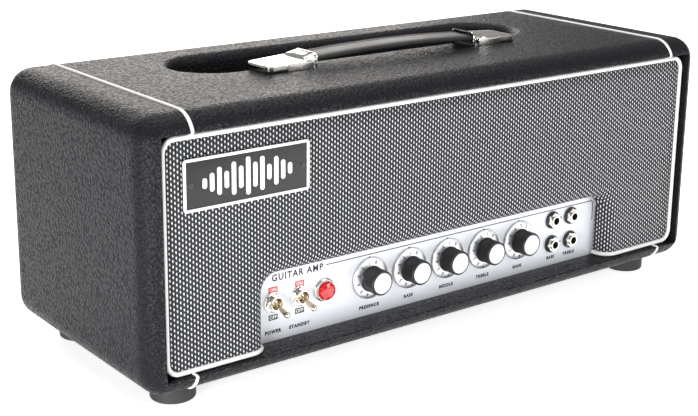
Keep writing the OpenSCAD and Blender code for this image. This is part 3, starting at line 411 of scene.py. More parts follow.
def plywood_finish():
    """Birch plywood: pale plies that show as bands on the cut edges, with long grain."""
    f = Finish("birch_ply", (0.68, 0.5, 0.32), Roughness=0.6)
    x, _, z = f.parts(f.place())
    grain = f.noise(60, 5, 0.6, at=f.stretched(0.12, 1, 1))
    pore = f.noise(700, 3, 0.6, at=f.stretched(0.05, 1, 1))
    ply = ((z + x) / (1.6 * MM) + grain * 0.3).math("FRACT")
    band = f.between((ply - 0.5).math("ABSOLUTE"), 0.3, 0.42)
    tone = f.blend(grain, (0.74, 0.57, 0.38), (0.56, 0.39, 0.23))
    tone = f.blend(band * 0.28, tone, (0.34, 0.21, 0.11))
    f.feed("Base Color", f.blend(f.between(pore, 0.6, 0.8) * 0.4, tone, (0.30, 0.19, 0.10)))
    f.feed("Roughness", 0.55 + pore * 0.2)
    f.bump(pore + band * 0.4, 0.25, 0.12 * MM)
    return f.material


def sheet_steel_finish():
    """Plated chassis steel with rolling streaks."""
    f = Finish("chassis_steel", (0.55, 0.56, 0.58), Metallic=1.0, Roughness=0.38)
    streak = f.noise(130, 4, 0.6, at=f.stretched(0.1, 1, 1))
    stain = f.noise(20, 4)
    f.feed("Base Color", f.blend(stain, (0.60, 0.61, 0.62), (0.44, 0.45, 0.46)))
    f.feed("Roughness", 0.28 + streak * 0.22)
    f.bump(streak, 0.1, 0.05 * MM)
    return f.material


def phenolic_finish():
    """Brown phenolic switch body behind the panel, bright nickel bushing in front of it."""
    f = Finish("switch_housing", (0.14, 0.05, 0.03), Roughness=0.45)
    _, y, _ = f.parts(f.place())
    metal = y < PANEL_HIGH.y + 1.7 * MM
    mottle = f.noise(330, 4)
    brown = f.blend(mottle, (0.16, 0.055, 0.03), (0.09, 0.03, 0.018))
    plate = f.blend(mottle, (0.88, 0.85, 0.8), (0.78, 0.72, 0.64))
    f.feed("Base Color", f.blend(metal, brown, plate))
    f.feed("Metallic", metal)
    f.feed("Roughness", 0.46 - metal * 0.33 + mottle * 0.08)
    f.bump(mottle, 0.1, 0.06 * MM)
    return f.material


def jack_body_finish():
    """Black nylon jack body whose threaded mouth, in front of the panel, is bright nickel."""
    f = Finish("jack_body", (0.012, 0.012, 0.013), Roughness=0.4)
    x, y, z = f.parts(f.place())
    across, up = [
        ((value - (low + high) / 2).math("ABSOLUTE") - (high - low) / 2).math("POWER", 2.0)
        for value, (low, high) in ((x, JACK_XS), (z, JACK_ZS))]
    in_front = (y < PANEL_HIGH.y) * ((across + up) > (3.5 * MM) ** 2)
    behind = (y > REAR_LOW.y) * (y > 0)
    metal = (in_front + behind * 0.6).math("MINIMUM", 1.0)
    grain = f.noise(900, 3)
    black = f.blend(grain, (0.010, 0.010, 0.011), (0.020, 0.020, 0.022))
    f.feed("Base Color", f.blend(metal, black, (0.84, 0.81, 0.76)))
    f.feed("Metallic", metal)
    f.feed("Roughness", 0.46 - metal * 0.3 + grain * 0.06)
    f.bump(grain, 0.1, 0.05 * MM)
    return f.material


def painted_steel_finish():
    """Black painted steel with orange peel and a few rubbed specks."""
    f = Finish("vent_paint", (0.022, 0.022, 0.024), Roughness=0.45)
    peel = f.noise(650, 3)
    chip = f.between(f.noise(900, 4, 0.7), 0.7, 0.76)
    f.feed("Base Color", f.blend(chip * 0.7, (0.022, 0.022, 0.024), (0.32, 0.32, 0.32)))
    f.feed("Metallic", chip * 0.6)
    f.feed("Roughness", 0.38 + peel * 0.14)
    f.bump(peel, 0.3, 0.1 * MM)
    return f.material


def lamination_finish():
    """Varnished iron laminations, stacked along Y."""
    f = Finish("core_iron", (0.05, 0.05, 0.052), Roughness=0.5, Metallic=0.6)
    _, y, _ = f.parts(f.place())
    leaf = (y / (0.5 * MM)).math("FRACT")
    edge = f.between((leaf - 0.5).math("ABSOLUTE"), 0.3, 0.5)
    rust = f.between(f.noise(120, 5, 0.7), 0.55, 0.75)
    tone = f.blend(edge, (0.07, 0.07, 0.074), (0.02, 0.02, 0.022))
    f.feed("Base Color", f.blend(rust * 0.4, tone, (0.16, 0.07, 0.03)))
    f.feed("Roughness", 0.42 + rust * 0.3)
    f.bump(edge, 0.4, 0.12 * MM)
    return f.material


def coil_wrap_finish():
    """Varnished amber paper round the windings, with its lapped turns."""
    f = Finish("coil_wrap", (0.5, 0.36, 0.13), Roughness=0.35)
    _, _, z = f.parts(f.place())
    lap = (z / (9 * MM)).math("FRACT")
    step = f.between(lap, 0.0, 0.08)
    fibre = f.noise(300, 4, 0.6, at=f.stretched(0.2, 0.2, 1))
    f.feed("Base Color", f.blend(fibre, (0.58, 0.42, 0.16), (0.38, 0.25, 0.08)))
    f.feed("Roughness", 0.28 + fibre * 0.2)
    f.bump(step + fibre * 0.3, 0.4, 0.2 * MM)
    return f.material


def valve_glass_finish():
    """Clear glass bulb with smoky patches."""
    f = Finish("valve_glass", (0.92, 0.94, 0.95), Roughness=0.03)
    f.shader.inputs["Transmission Weight"].default_value = 0.9
    f.shader.inputs["IOR"].default_value = 1.2
    smoke = f.noise(40, 3)
    f.feed("Base Color", f.blend(smoke, (0.93, 0.95, 0.96), (0.72, 0.76, 0.8)))
    f.feed("Roughness", 0.02 + smoke * 0.05)
    return f.material


def ceramic_finish():
    """Cream glazed socket ceramic with fine crazing."""
    f = Finish("socket_ceramic", (0.76, 0.72, 0.64), Roughness=0.3)
    craze = f.between(f.cells(420, "DISTANCE_TO_EDGE"), 0.0, 0.03)
    stain = f.noise(90, 4)
    tone = f.blend(stain, (0.80, 0.76, 0.68), (0.66, 0.61, 0.52))
    f.feed("Base Color", f.blend(craze, (0.45, 0.40, 0.33), tone))
    f.feed("Roughness", 0.2 + stain * 0.2)
    return f.material


def sleeve_finish():
    """Blue shrink sleeve of a capacitor."""
    f = Finish("capacitor_sleeve", (0.04, 0.11, 0.3), Roughness=0.3)
    pull = f.noise(260, 3, at=f.stretched(1, 1, 0.1))
    f.feed("Base Color", f.blend(pull, (0.03, 0.10, 0.30), (0.06, 0.16, 0.40)))
    f.feed("Roughness", 0.22 + pull * 0.16)
    f.bump(pull, 0.2, 0.1 * MM)
    return f.material


def circuit_finish():
    """Green laminate with woven glass showing through and bright tracks."""
    f = Finish("circuit_laminate", (0.04, 0.18, 0.08), Roughness=0.35)
    x, _, _ = f.parts(f.place())
    run = (x / (7 * MM) + f.noise(30, 1) * 2).math("FRACT")
    track = f.between((run - 0.5).math("ABSOLUTE"), 0.12, 0.08)
    weave = f.noise(1500, 2)
    tone = f.blend(weave, (0.035, 0.16, 0.07), (0.06, 0.24, 0.11))
    f.feed("Base Color", f.blend(track * 0.5, tone, (0.10, 0.34, 0.16)))
    f.feed("Roughness", 0.3 + weave * 0.1)
    f.bump(track, 0.3, 0.08 * MM)
    return f.material


def floor_finish():
    """Plain pale floor, bright enough to stay white under the soft light."""
    f = Finish("studio_floor", (0.92, 0.92, 0.92), Roughness=0.7)
    drift = f.noise(2, 2)
    f.feed("Base Color", f.blend(drift, (0.93, 0.93, 0.93), (0.91, 0.91, 0.915)))
    f.feed("Emission Color", f.blend(drift, (1.0, 1.0, 1.0), (0.98, 0.98, 0.985)))
    f.shader.inputs["Emission Strength"].default_value = 0.74
    return f.material


VINYL = vinyl_finish()
WHITE_PIPING = white_piping_finish()
GRILLE_WEAVE = grille_cloth_finish()
NICKEL = nickel_finish("bright_nickel", (0.86, 0.84, 0.81), (0.76, 0.72, 0.66))
WARM_NICKEL = nickel_finish("warm_nickel", (0.80, 0.72, 0.58), (0.66, 0.56, 0.42))
ZINC = zinc_finish()
BLACK_SCREW = moulded_black_finish("black_screw", 0.03, 0.3)
PANEL_SILVER = panel_finish()
DIAL_SILVER = spun_aluminium_finish("dial_silver", (0.80, 0.805, 0.82), 0.3)
CAP_SILVER = spun_aluminium_finish("cap_silver", (0.74, 0.745, 0.76), 0.3)
KNOB_BLACK = moulded_black_finish("knob_black", 0.009, 0.34)
PLATE_BLACK = moulded_black_finish("badge_black", 0.008, 0.22, 500)
NYLON_BLACK = moulded_black_finish("nylon_black", 0.012, 0.5)
INLET_BLACK = moulded_black_finish("inlet_black", 0.02, 0.42)
STRAP_BLACK = rubber_finish("strap_black", 0.02, 0.42)
FOOT_RUBBER = rubber_finish("foot_rubber", 0.022, 0.65)
INK_BLACK = ink_finish("ink_black", (0.006, 0.006, 0.008))
INK_GREY = ink_finish("ink_grey", (0.02, 0.02, 0.025))
INK_RED = ink_finish("ink_red", (0.72, 0.05, 0.04))
INK_WHITE = ink_finish("ink_white", (0.85, 0.85, 0.83))
ENAMEL_WHITE = ink_finish("enamel_white", (0.82, 0.82, 0.8))
JEWEL = jewel_finish()
PLYWOOD = plywood_finish()
CHASSIS_STEEL = sheet_steel_finish()
SWITCH_HOUSING = phenolic_finish()
JACK_BODY = jack_body_finish()
VENT_PAINT = painted_steel_finish()
CORE_IRON = lamination_finish()
COIL_WRAP = coil_wrap_finish()
VALVE_GLASS = valve_glass_finish()
CERAMIC = ceramic_finish()
SLEEVE = sleeve_finish()
CIRCUIT = circuit_finish()


# ------------------------------------------------------------------ meshes


def weld(verts, faces, uv=None, tolerance=1e-7):
    """Joins points that lie together, and drops the sides of faces that have shrunk to nothing."""
    keys = np.round(np.asarray(verts) / tolerance).astype(np.int64)
    _, first, where = np.unique(keys, axis=0, return_index=True, return_inverse=True)
    where = where.reshape(-1)
    kept, corners = [], []
    for face in faces:
        new, old = [], []
        for k in face:
            w = int(where[k])
            if not new or new[-1] != w:
                new.append(w)
                old.append(k)
        if len(new) > 1 and new[0] == new[-1]:
            new.pop()
            old.pop()
        if len(new) >= 3 and len(set(new)) == len(new):
            kept.append(new)
            corners.append(old)
    loops = None if uv is None else np.array([uv[k] for old in corners for k in old])
    return np.asarray(verts)[first], kept, loops


def piece(name, verts, faces, finish, slot, body="cabinet", uv=None, smooth=True, replaces=(),
          angle=None):
    """A mesh piece from points and faces, which rides on a body."""
    points, kept, loops = weld(verts, faces, uv)
    mesh = bpy.data.meshes.new(name)
    mesh.from_pydata(points.tolist(), [], kept)
    if loops is not None:
        layer = mesh.uv_layers.new(name="UVMap")
        layer.data.foreach_set("uv", loops.astype(np.float32).ravel())
    mesh.materials.append(finish)
    mesh.polygons.foreach_set("use_smooth", np.full(len(mesh.polygons), smooth))
    if smooth and angle is not None:
        mark_sharp(mesh, angle)
    made = bpy.data.objects.new(name, mesh)
    bpy.context.scene.collection.objects.link(made)
    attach(made, body)
    if replaces:
        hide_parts(*replaces)
    return made


def mark_sharp(mesh, degrees):
    """Marks the edges where two faces meet at more than the angle."""
    mesh.update()
    mesh.calc_loop_triangles()
    normals = np.zeros(len(mesh.polygons) * 3, np.float32)
    mesh.polygons.foreach_get("normal", normals)
    normals = normals.reshape(-1, 3)
    sizes = np.zeros(len(mesh.polygons), np.int32)
    mesh.polygons.foreach_get("loop_total", sizes)
    owner = np.repeat(np.arange(len(sizes)), sizes)
    edges = np.zeros(len(mesh.loops), np.int32)
    mesh.loops.foreach_get("edge_index", edges)
    order = np.argsort(edges, kind="stable")
    edges, owner = edges[order], owner[order]
    pair = np.nonzero(edges[1:] == edges[:-1])[0]
    dots = (normals[owner[pair]] * normals[owner[pair + 1]]).sum(1)
    sharp = np.zeros(len(mesh.edges), bool)
    sharp[edges[pair[dots < math.cos(math.radians(degrees))]]] = True
    attribute = mesh.attributes.get("sharp_edge") or mesh.attributes.new(
        "sharp_edge", "BOOLEAN", "EDGE")
    attribute.data.foreach_set("value", sharp)


def grid_faces(rows, cols, round_rows=False, round_cols=False):
    """Quads of a grid of points held row by row; a round direction joins its end to its start."""
    r = np.arange(rows if round_rows else rows - 1)
    c = np.arange(cols if round_cols else cols - 1)
    r, c = np.meshgrid(r, c, indexing="ij")
    r, c = r.ravel(), c.ravel()
    r2, c2 = (r + 1) % rows, (c + 1) % cols
    return np.stack([r * cols + c, r * cols + c2, r2 * cols + c2, r2 * cols + c], 1).tolist()


def bar_faces(rows, cols):
    """Faces of a bar: rings of points joined row by row, and a face over each end."""
    last = (rows - 1) * cols
    ends = [list(range(cols))[::-1], list(range(last, last + cols))]
    return grid_faces(rows, cols, round_cols=True) + ends


def merged(*parts):
    """Joins several (points, faces) pairs into one."""
    verts, faces, start = [], [], 0
    for points, quads in parts:
        points = np.asarray(points, float).reshape(-1, 3)
        verts.append(points)
        faces += [[int(k) + start for k in face] for face in quads]
        start += len(points)
    return np.concatenate(verts), faces


def arc(cx, cy, radius, start, end, steps):
    """Points on an arc of a circle, in degrees."""
    t = np.radians(np.linspace(start, end, steps + 1))
    return np.stack([cx + radius * np.cos(t), cy + radius * np.sin(t)], 1)


def lathe(profile, sides, radius_at=None):
    """A profile of (radius, distance) turned about the Y axis.

    x = r sin(t), y = distance, z = r cos(t). radius_at(radius, distance, angle) may change the
    radius, for flutes and flats."""
    profile = np.asarray(profile, float)
    angle = np.arange(sides) / sides * TAU
    r = np.repeat(profile[:, :1], sides, 1)
    y = np.repeat(profile[:, 1:], sides, 1)
    t = np.repeat(angle[None], len(profile), 0)
    if radius_at is not None:
        r = radius_at(r, y, t)
    points = np.stack([r * np.sin(t), y, r * np.cos(t)], 2).reshape(-1, 3)
    length = np.concatenate([[0], np.cumsum(np.hypot(*np.diff(profile, axis=0).T))])
    uv = np.stack([t / TAU, np.repeat(length[:, None], sides, 1)], 2).reshape(-1, 2)
    return points, grid_faces(len(profile), sides, round_cols=True), uv


def moved(points, x=0.0, y=0.0, z=0.0):
    """Points shifted by (x, y, z)."""
    return np.asarray(points) + np.array([x, y, z])


def upright(flat, y):
    """(x, z) points set at the depth y."""
    return np.stack([flat[:, 0], np.full(len(flat), y), flat[:, 1]], 1)


def spun(points, turn):
    """Points turned about the Y axis."""
    c, s = math.cos(turn), math.sin(turn)
    return np.stack([points[:, 0] * c - points[:, 2] * s, points[:, 1],
                     points[:, 0] * s + points[:, 2] * c], 1)


def tube(path, radius, sides):
    """A round bar along a path: each ring lies across the path's direction.

    The ring's first axis is carried along by taking out its part along each new direction."""
    path = np.asarray(path, float)
    ahead = np.roll(path, -1, 0) - path
    behind = path - np.roll(path, 1, 0)
    ahead[-1] = behind[-1]
    behind[0] = ahead[0]
    tangent = ahead / np.linalg.norm(ahead, axis=1)[:, None]
    tangent = tangent + behind / np.linalg.norm(behind, axis=1)[:, None]
    tangent /= np.linalg.norm(tangent, axis=1)[:, None]
    side = np.zeros_like(path)
    last = np.cross(tangent[0], (1, 0, 0))
    for k, along in enumerate(tangent):
        last = last - along * last.dot(along)
        last /= np.linalg.norm(last)
        side[k] = last
    lift = np.cross(side, tangent)
    t = np.arange(sides) / sides * TAU
    rings = (path[:, None] + radius * (side[:, None] * np.cos(t)[None, :, None]
                                       + lift[:, None] * np.sin(t)[None, :, None]))
    return rings.reshape(-1, 3), bar_faces(len(path), sides)


def outward(points, faces):
    """Turns the faces round if the closed surface encloses a negative volume."""
    points = np.asarray(points)
    total = 0.0
    for face in faces:
        a = points[face[0]]
        for k in range(1, len(face) - 1):
            total += np.dot(a, np.cross(points[face[k]], points[face[k + 1]]))
    return faces if total > 0 else [list(face)[::-1] for face in faces]


def bevelled_box(low, high, r, steps=2):
    """A box with rounded edges: a ball's grid, its eight parts pushed out to the corners.

    Each point is the corner's centre plus the ball's radius times its direction."""
    low, high = np.asarray(low, float), np.asarray(high, float)
    half = (high - low) / 2
    r = min(r, half.min() * 0.999)
    lat = np.concatenate([np.linspace(-90, 0, steps + 1), np.linspace(0, 90, steps + 1)])
    sign_z = np.array([-1] * (steps + 1) + [1] * (steps + 1))
    lon = np.concatenate([np.linspace(q * 90, q * 90 + 90, steps + 1) for q in range(4)])
    quadrant = np.repeat(np.arange(4), steps + 1)
    sx = np.array([1, -1, -1, 1])[quadrant]
    sy = np.array([1, 1, -1, -1])[quadrant]
    lat, lon = np.radians(lat), np.radians(lon)
    dx = np.cos(lat)[:, None] * np.cos(lon)[None]
    dy = np.cos(lat)[:, None] * np.sin(lon)[None]
    dz = np.repeat(np.sin(lat)[:, None], len(lon), 1)
    inner = half - r
    x = sx[None] * inner[0] + r * dx
    y = sy[None] * inner[1] + r * dy
    z = sign_z[:, None] * inner[2] + r * dz
    points = np.stack([x, y, z], 2).reshape(-1, 3) + (low + high) / 2
    return points, bar_faces(len(lat), len(lon))


def letters(text, size, bold=0.0, spacing=1.0, depth=0.05 * MM):
    """Flat lettering as a mesh in the XZ plane, facing the front, centred on the origin.

    Returns its points and faces."""
    curve = bpy.data.curves.new("letters", "FONT")
    curve.body = text
    curve.size = size
    curve.offset = bold
    curve.space_character = spacing
    curve.extrude = depth / 2
    curve.resolution_u = 3
    holder = bpy.data.objects.new("letters", curve)
    bpy.context.scene.collection.objects.link(holder)
    bpy.context.view_layer.update()
    mesh = bpy.data.meshes.new_from_object(holder)
    co = np.zeros(len(mesh.vertices) * 3, np.float32)
    mesh.vertices.foreach_get("co", co)
    co = co.reshape(-1, 3).astype(float)
    faces = [list(p.vertices) for p in mesh.polygons]
    bpy.data.objects.remove(holder)
    bpy.data.curves.remove(curve)
    bpy.data.meshes.remove(mesh)
    middle = (co.min(0) + co.max(0)) / 2
    co = co - middle
    return np.stack([co[:, 0], -co[:, 2], co[:, 1]], 1), faces


# ------------------------------------------------------------------ cabinet covering


def skin_section(turned_to_depth):
    """The covering's section at one opening, from outside inwards, as (inset, depth) pairs.

    It follows the rounded edge, folds round the board's lip and runs in to the depth it is
    turned in to. Also gives how many points come before the fold."""
    fold_r = 1.0 * MM
    lip = BOARD - fold_r
    end_angle = math.degrees(math.acos((EDGE_R - lip) / EDGE_R))
    round_over = arc(EDGE_R, 0, EDGE_R, 180, 180 - end_angle, 12)
    inset = round_over[:, 0]
    behind = EDGE_R - round_over[:, 1]
    edge_y = behind[-1]
    t = np.linspace(0, 1, 6)[1:]
    corner_y = edge_y - 0.25 * MM
    fold_d = (1 - t) ** 2 * lip + 2 * t * (1 - t) * BOARD + t ** 2 * BOARD
    fold_y = (1 - t) ** 2 * edge_y + 2 * t * (1 - t) * corner_y + t ** 2 * (edge_y + fold_r)
    outer = np.stack([np.concatenate([inset, fold_d]), np.concatenate([behind, fold_y])], 1)
    inner = np.array([[BOARD, turned_to_depth * share] for share in (0.3, 0.65, 1.0)])
    return np.concatenate([outer, inner]), len(inset)


WINDOW_X = 200 * MM
WINDOW_Y = (-20 * MM, 85 * MM)
WINDOW_COLS, WINDOW_ROWS = 100, 26
WINDOW_XS = np.linspace(-WINDOW_X, WINDOW_X, WINDOW_COLS + 1)
WINDOW_YS = np.linspace(*WINDOW_Y, WINDOW_ROWS + 1)
FLAT_YS = np.concatenate([np.linspace(FRONT + EDGE_R, WINDOW_Y[0], 11)[:-1], WINDOW_YS[:-1],
                          np.linspace(WINDOW_Y[1], REAR - EDGE_R, 4)])


def covering_columns():
    """X values across the top and bottom, close together beside the piping."""
    beside = np.array([-5, -3, -2, -1.2, 0, 1.2, 2, 3, 5]) * MM
    right = np.concatenate([
        np.linspace(WINDOW_X, PIPING_X - 5 * MM, 8)[1:-1], PIPING_X + beside,
        np.linspace(PIPING_X + 5 * MM, HALF_W - EDGE_R, 4)[1:]])
    return np.concatenate([-right[::-1], WINDOW_XS, right])


def around():
    """Points round the cabinet seen from the front: side shares (-1 to 1 of the flat) and normals.

    Order: top from left to right, down the right side, bottom from right to left, up the left side,
    with an arc at each corner."""
    xs = covering_columns() / (HALF_W - EDGE_R)
    zs = np.linspace(1, -1, 25)
    sx, sz, nx, nz = [], [], [], []

    def side(a, b, n):
        """Adds a straight run with one normal."""
        sx.append(np.broadcast_to(a, np.broadcast(a, b).shape))
        sz.append(np.broadcast_to(b, np.broadcast(a, b).shape))
        nx.append(np.full(np.broadcast(a, b).shape, float(n[0])))
        nz.append(np.full(np.broadcast(a, b).shape, float(n[1])))

    def corner(x, z, start):
        """Adds the points between two runs, which share their place and differ in normal."""
        t = np.radians(np.linspace(start, start - 90, 11)[1:-1])
        sx.append(np.full(t.shape, float(x)))
        sz.append(np.full(t.shape, float(z)))
        nx.append(np.cos(t))
        nz.append(np.sin(t))

    side(xs, 1.0, (0, 1))
    corner(1, 1, 90)
    side(1.0, zs, (1, 0))
    corner(1, -1, 0)
    side(xs[::-1], -1.0, (0, -1))
    corner(-1, -1, -90)
    side(-1.0, zs[::-1], (-1, 0))
    corner(-1, 1, -180)
    return [np.concatenate(v) for v in (sx, sz, nx, nz)]


def skin_points(sx, sz, nx, nz, inset, y):
    """A ring of the covering at one inset: corner centre plus corner radius times the normal.

    The corner radius shrinks with the inset as on a ball, then quickly to nothing at the lip."""
    ball_to = 9 * MM
    radius = EDGE_R - inset
    if inset > ball_to:
        radius = (EDGE_R - ball_to) * (BOARD - inset) / (BOARD - ball_to)
    half_x = HALF_W - inset - radius
    half_z = (TOP - BASE) / 2 - inset - radius
    x = sx * half_x + radius * nx
    z = MID_Z + sz * half_z + radius * nz
    return np.stack([x, np.full(x.shape, y), z], 1)


def cabinet_covering():
    """The vinyl skin: a ring of sections round the cabinet, with the handle well set in the top."""
    front_lip, outer_count = skin_section(PANEL_Y - FRONT - 0.2 * MM)
    rear_lip, _ = skin_section(REAR - REAR_HIGH.y - 0.2 * MM)
    front = [(d, FRONT + y, k) for k, (d, y) in enumerate(front_lip)]
    rear = [(d, REAR - y, k) for k, (d, y) in enumerate(rear_lip)]
    section = front[::-1] + [(0.0, y, -1) for y in FLAT_YS[1:-1]] + rear
    sx, sz, nx, nz = around()
    cols = len(sx)
    groove = np.abs(nz) * np.exp(-((np.abs(sx * (HALF_W - EDGE_R)) - PIPING_X) / (2.2 * MM)) ** 2)
    rows, wear = [], []
    for inset, y, k in section:
        ring = skin_points(sx, sz, nx, nz, inset, y)
        if k < outer_count:
            ring -= np.stack([nx, 0 * nx, nz], 1) * (groove * 0.5 * MM)[:, None]
        rows.append(ring)
        near_fold = max(0.0, 1 - abs(k - outer_count) / 3) if k >= 0 else 0.0
        wear.append(np.full(cols, near_fold))
    points = np.concatenate(rows)
    wear = np.concatenate(wear)
    quads = np.array(grid_faces(len(section), cols, round_cols=True))
    centre = points[quads].mean(1)
    in_window = ((np.abs(centre[:, 0]) < WINDOW_X) & (centre[:, 1] > WINDOW_Y[0])
                 & (centre[:, 1] < WINDOW_Y[1]) & (centre[:, 2] > TOP - 1 * MM))
    quads = quads[~in_window]
    patch_points, patch_faces = well_patch()
    all_points = np.concatenate([points, patch_points])
    faces = quads.tolist() + (np.array(patch_faces) + len(points)).tolist()
    welded, kept, _ = weld(all_points, faces, tolerance=1e-6)
    made = piece("cabinet_covering", welded, kept, VINYL, "vinyl",
                 replaces=("vinyl_covering", "handle_well"))
    worn = np.concatenate([wear, np.zeros(len(patch_points))])
    keys = np.round(all_points / 1e-6).astype(np.int64)
    _, first = np.unique(keys, axis=0, return_index=True)
    attribute = made.data.attributes.new("fold_wear", "FLOAT", "POINT")
    values = worn[first]
    if len(values) == len(made.data.vertices):
        attribute.data.foreach_set("value", values.astype(np.float32))
    thick = made.modifiers.new("skin", "SOLIDIFY")
    thick.thickness = SKIN_T * 0.98
    thick.offset = -1
    return made


def stadium_marks(count_x, count_y):
    """For each point of the window's edge, its partner on the well's outline.

    The partners are spread by length of outline; the window's corners go to the ends' diagonals.
    Each is a centre on the well's long axis and a direction from it."""
    straight = 2 * WELL_END_X
    bend = math.pi * WELL_LIP_R
    total = 2 * straight + 2 * bend
    quarter = bend / 4
    stops = [-quarter, straight + quarter, straight + bend - quarter,
             2 * straight + bend + quarter, total - quarter]
    counts = [count_x, count_y, count_x, count_y]
    s = np.concatenate([np.linspace(stops[k], stops[k + 1], counts[k] + 1)[:-1]
                        for k in range(4)]) % total
    on = [s < straight, s < straight + bend, s < 2 * straight + bend]
    cx = np.select(on, [s - WELL_END_X, WELL_END_X, WELL_END_X - (s - straight - bend)],
                   -WELL_END_X)
    turn = np.select(on, [-math.pi / 2, (s - straight) / WELL_LIP_R - math.pi / 2, math.pi / 2],
                     (s - 2 * straight - bend) / WELL_LIP_R + math.pi / 2)
    return cx, np.cos(turn), np.sin(turn)


def well_patch():
    """The top's middle: flat to the window's edge, rolled rim, upright walls, flat bottom."""
    xs, ys = WINDOW_XS, WINDOW_YS
    edge = np.concatenate([
        [(x, ys[0]) for x in xs[:-1]], [(xs[-1], y) for y in ys[:-1]],
        [(x, ys[-1]) for x in xs[:0:-1]], [(xs[0], y) for y in ys[:0:-1]]])
    cx, nx, ny = stadium_marks(WINDOW_COLS, WINDOW_ROWS)

    def ring(r, z):
        """The well's outline at a radius and height."""
        return np.stack([cx + r * nx, WELL_Y + r * ny, np.full(len(cx), z)], 1)

    lip = ring(WELL_LIP_R + 0.6 * MM, TOP)
    rings = []
    for t in np.linspace(0, 1, 5):
        outer = np.concatenate([edge, np.full((len(edge), 1), TOP)], 1)
        rings.append(outer * (1 - t) + lip * t)
    rim = arc(WELL_TOP_R + 0.4 * MM, TOP - WELL_RIM_R, WELL_RIM_R, 90, 180, 10)
    for r, z in rim[1:]:
        rings.append(ring(r, z))
    for share in (0.3, 0.65):
        rings.append(ring(WELL_IN_R + 0.3 * MM, TOP - WELL_RIM_R - share * (WELL_DEPTH - 13 * MM)))
    for r, z in arc(WELL_IN_R - 4.7 * MM, TOP - WELL_DEPTH + 5 * MM, 5 * MM, 0, -90, 5):
        rings.append(ring(r, z))
    for share in (0.66, 0.33, 0.0):
        rings.append(ring((WELL_IN_R - 4.7 * MM) * share, TOP - WELL_DEPTH))
    points = np.concatenate(rings)
    faces = grid_faces(len(rings), len(cx), round_cols=True)
    return points, faces


# ------------------------------------------------------------------ piping


def half_loop(flip):
    """The piping's path over the top (flip = 1) or under the bottom (-1) as (y, z) points.

    It starts inside the front opening, follows the rounded edge and ends at the rear opening."""
    sink = 0.4 * MM
    r = EDGE_R - sink
    start = math.degrees(math.asin((EDGE_R - BOARD + 1.6 * MM) / EDGE_R))
    lip = np.array([(7.0, 0.4), (4.2, 0.4), (2.6, 0.45), (1.75, 0.8)]) * MM
    front = arc(FRONT + EDGE_R, TOP - EDGE_R, r, 180 - start, 90, 12)
    front = np.concatenate([lip + [FRONT, CEILING_Z], front])
    rear = arc(REAR - EDGE_R, TOP - EDGE_R, r, 90, start, 12)
    rear = np.concatenate([rear, lip[::-1] * [-1, 1] + [REAR, CEILING_Z]])
    flat = np.stack([np.linspace(FRONT + EDGE_R, REAR - EDGE_R, 40)[1:-1],
                     np.full(38, TOP - sink)], 1)
    path = np.concatenate([front, flat, rear])
    if flip < 0:
        path[:, 1] = BASE + TOP - path[:, 1]
    return path


def cabinet_piping():
    """Round-topped white piping in the covering's seams, broken at the feet."""
    foot_y = FEET_HIGH.y - 18 * MM
    parts = []
    for side in (-1, 1):
        for flip in (1, -1):
            path = half_loop(flip)
            runs = [path]
            if flip < 0:
                near = foot_y - 18.2 * MM
                far = foot_y + 18.2 * MM
                runs = [path[path[:, 0] < -far], path[(path[:, 0] > -near) & (path[:, 0] < near)],
                        path[path[:, 0] > far]]
            for run in runs:
                if len(run) < 3:
                    continue
                line = np.stack([np.full(len(run), side * PIPING_X), run[:, 0], run[:, 1]], 1)
                points, faces = tube(line, 1.48 * MM, 16)
                parts.append((points, outward(points, faces)))
    points, faces = merged(*parts)
    return piece("cabinet_piping_cord", points, faces, WHITE_PIPING, "white_piping",
                 replaces=("cabinet_piping",), angle=50)


def grille_piping():
    """White cord round the grille: up, across and down the sides, and back round each lower leg."""
    x = CLOTH_X + BEAD_R
    high = CLOTH_TOP + BEAD_R
    low = CLOTH_BASE - BEAD_R
    r = BOARD_CORNER_R + BEAD_R
    leg_x = RECESS_HALF + RECESS_EDGE_R
    turn_r = RECESS_EDGE_R + CLOTH_T
    turn_y = CLOTH_Y + turn_r
    y = CLOTH_Y
    turn = arc(leg_x, turn_y, turn_r, 180, 270, 10)
    right = [[leg_x - turn_r, BAFFLE_BACK, low]]
    right += [[px, py, low] for px, py in turn]
    right += [[px, y, low] for px in np.linspace(leg_x, x - r, 8)[1:-1]]
    right += [[px, y, pz] for px, pz in arc(x - r, low + r, r, -90, 0, 10)]
    right += [[x, y, pz] for pz in np.linspace(low + r, high - r, 14)[1:-1]]
    right += [[px, y, pz] for px, pz in arc(x - r, high - r, r, 0, 90, 10)]
    right = np.array(right)
    left = right[::-1] * np.array([-1, 1, 1])
    across = np.array([[px, y, high] for px in np.linspace(x - r, -(x - r), 40)[1:-1]])
    path = np.concatenate([right, across, left])
    points, faces = tube(path, BEAD_R * 0.985, 18)
    return piece("grille_piping_cord", points, outward(points, faces), WHITE_PIPING,
                 "white_piping", replaces=("grille_piping",), angle=50)


# ------------------------------------------------------------------ grille cloth


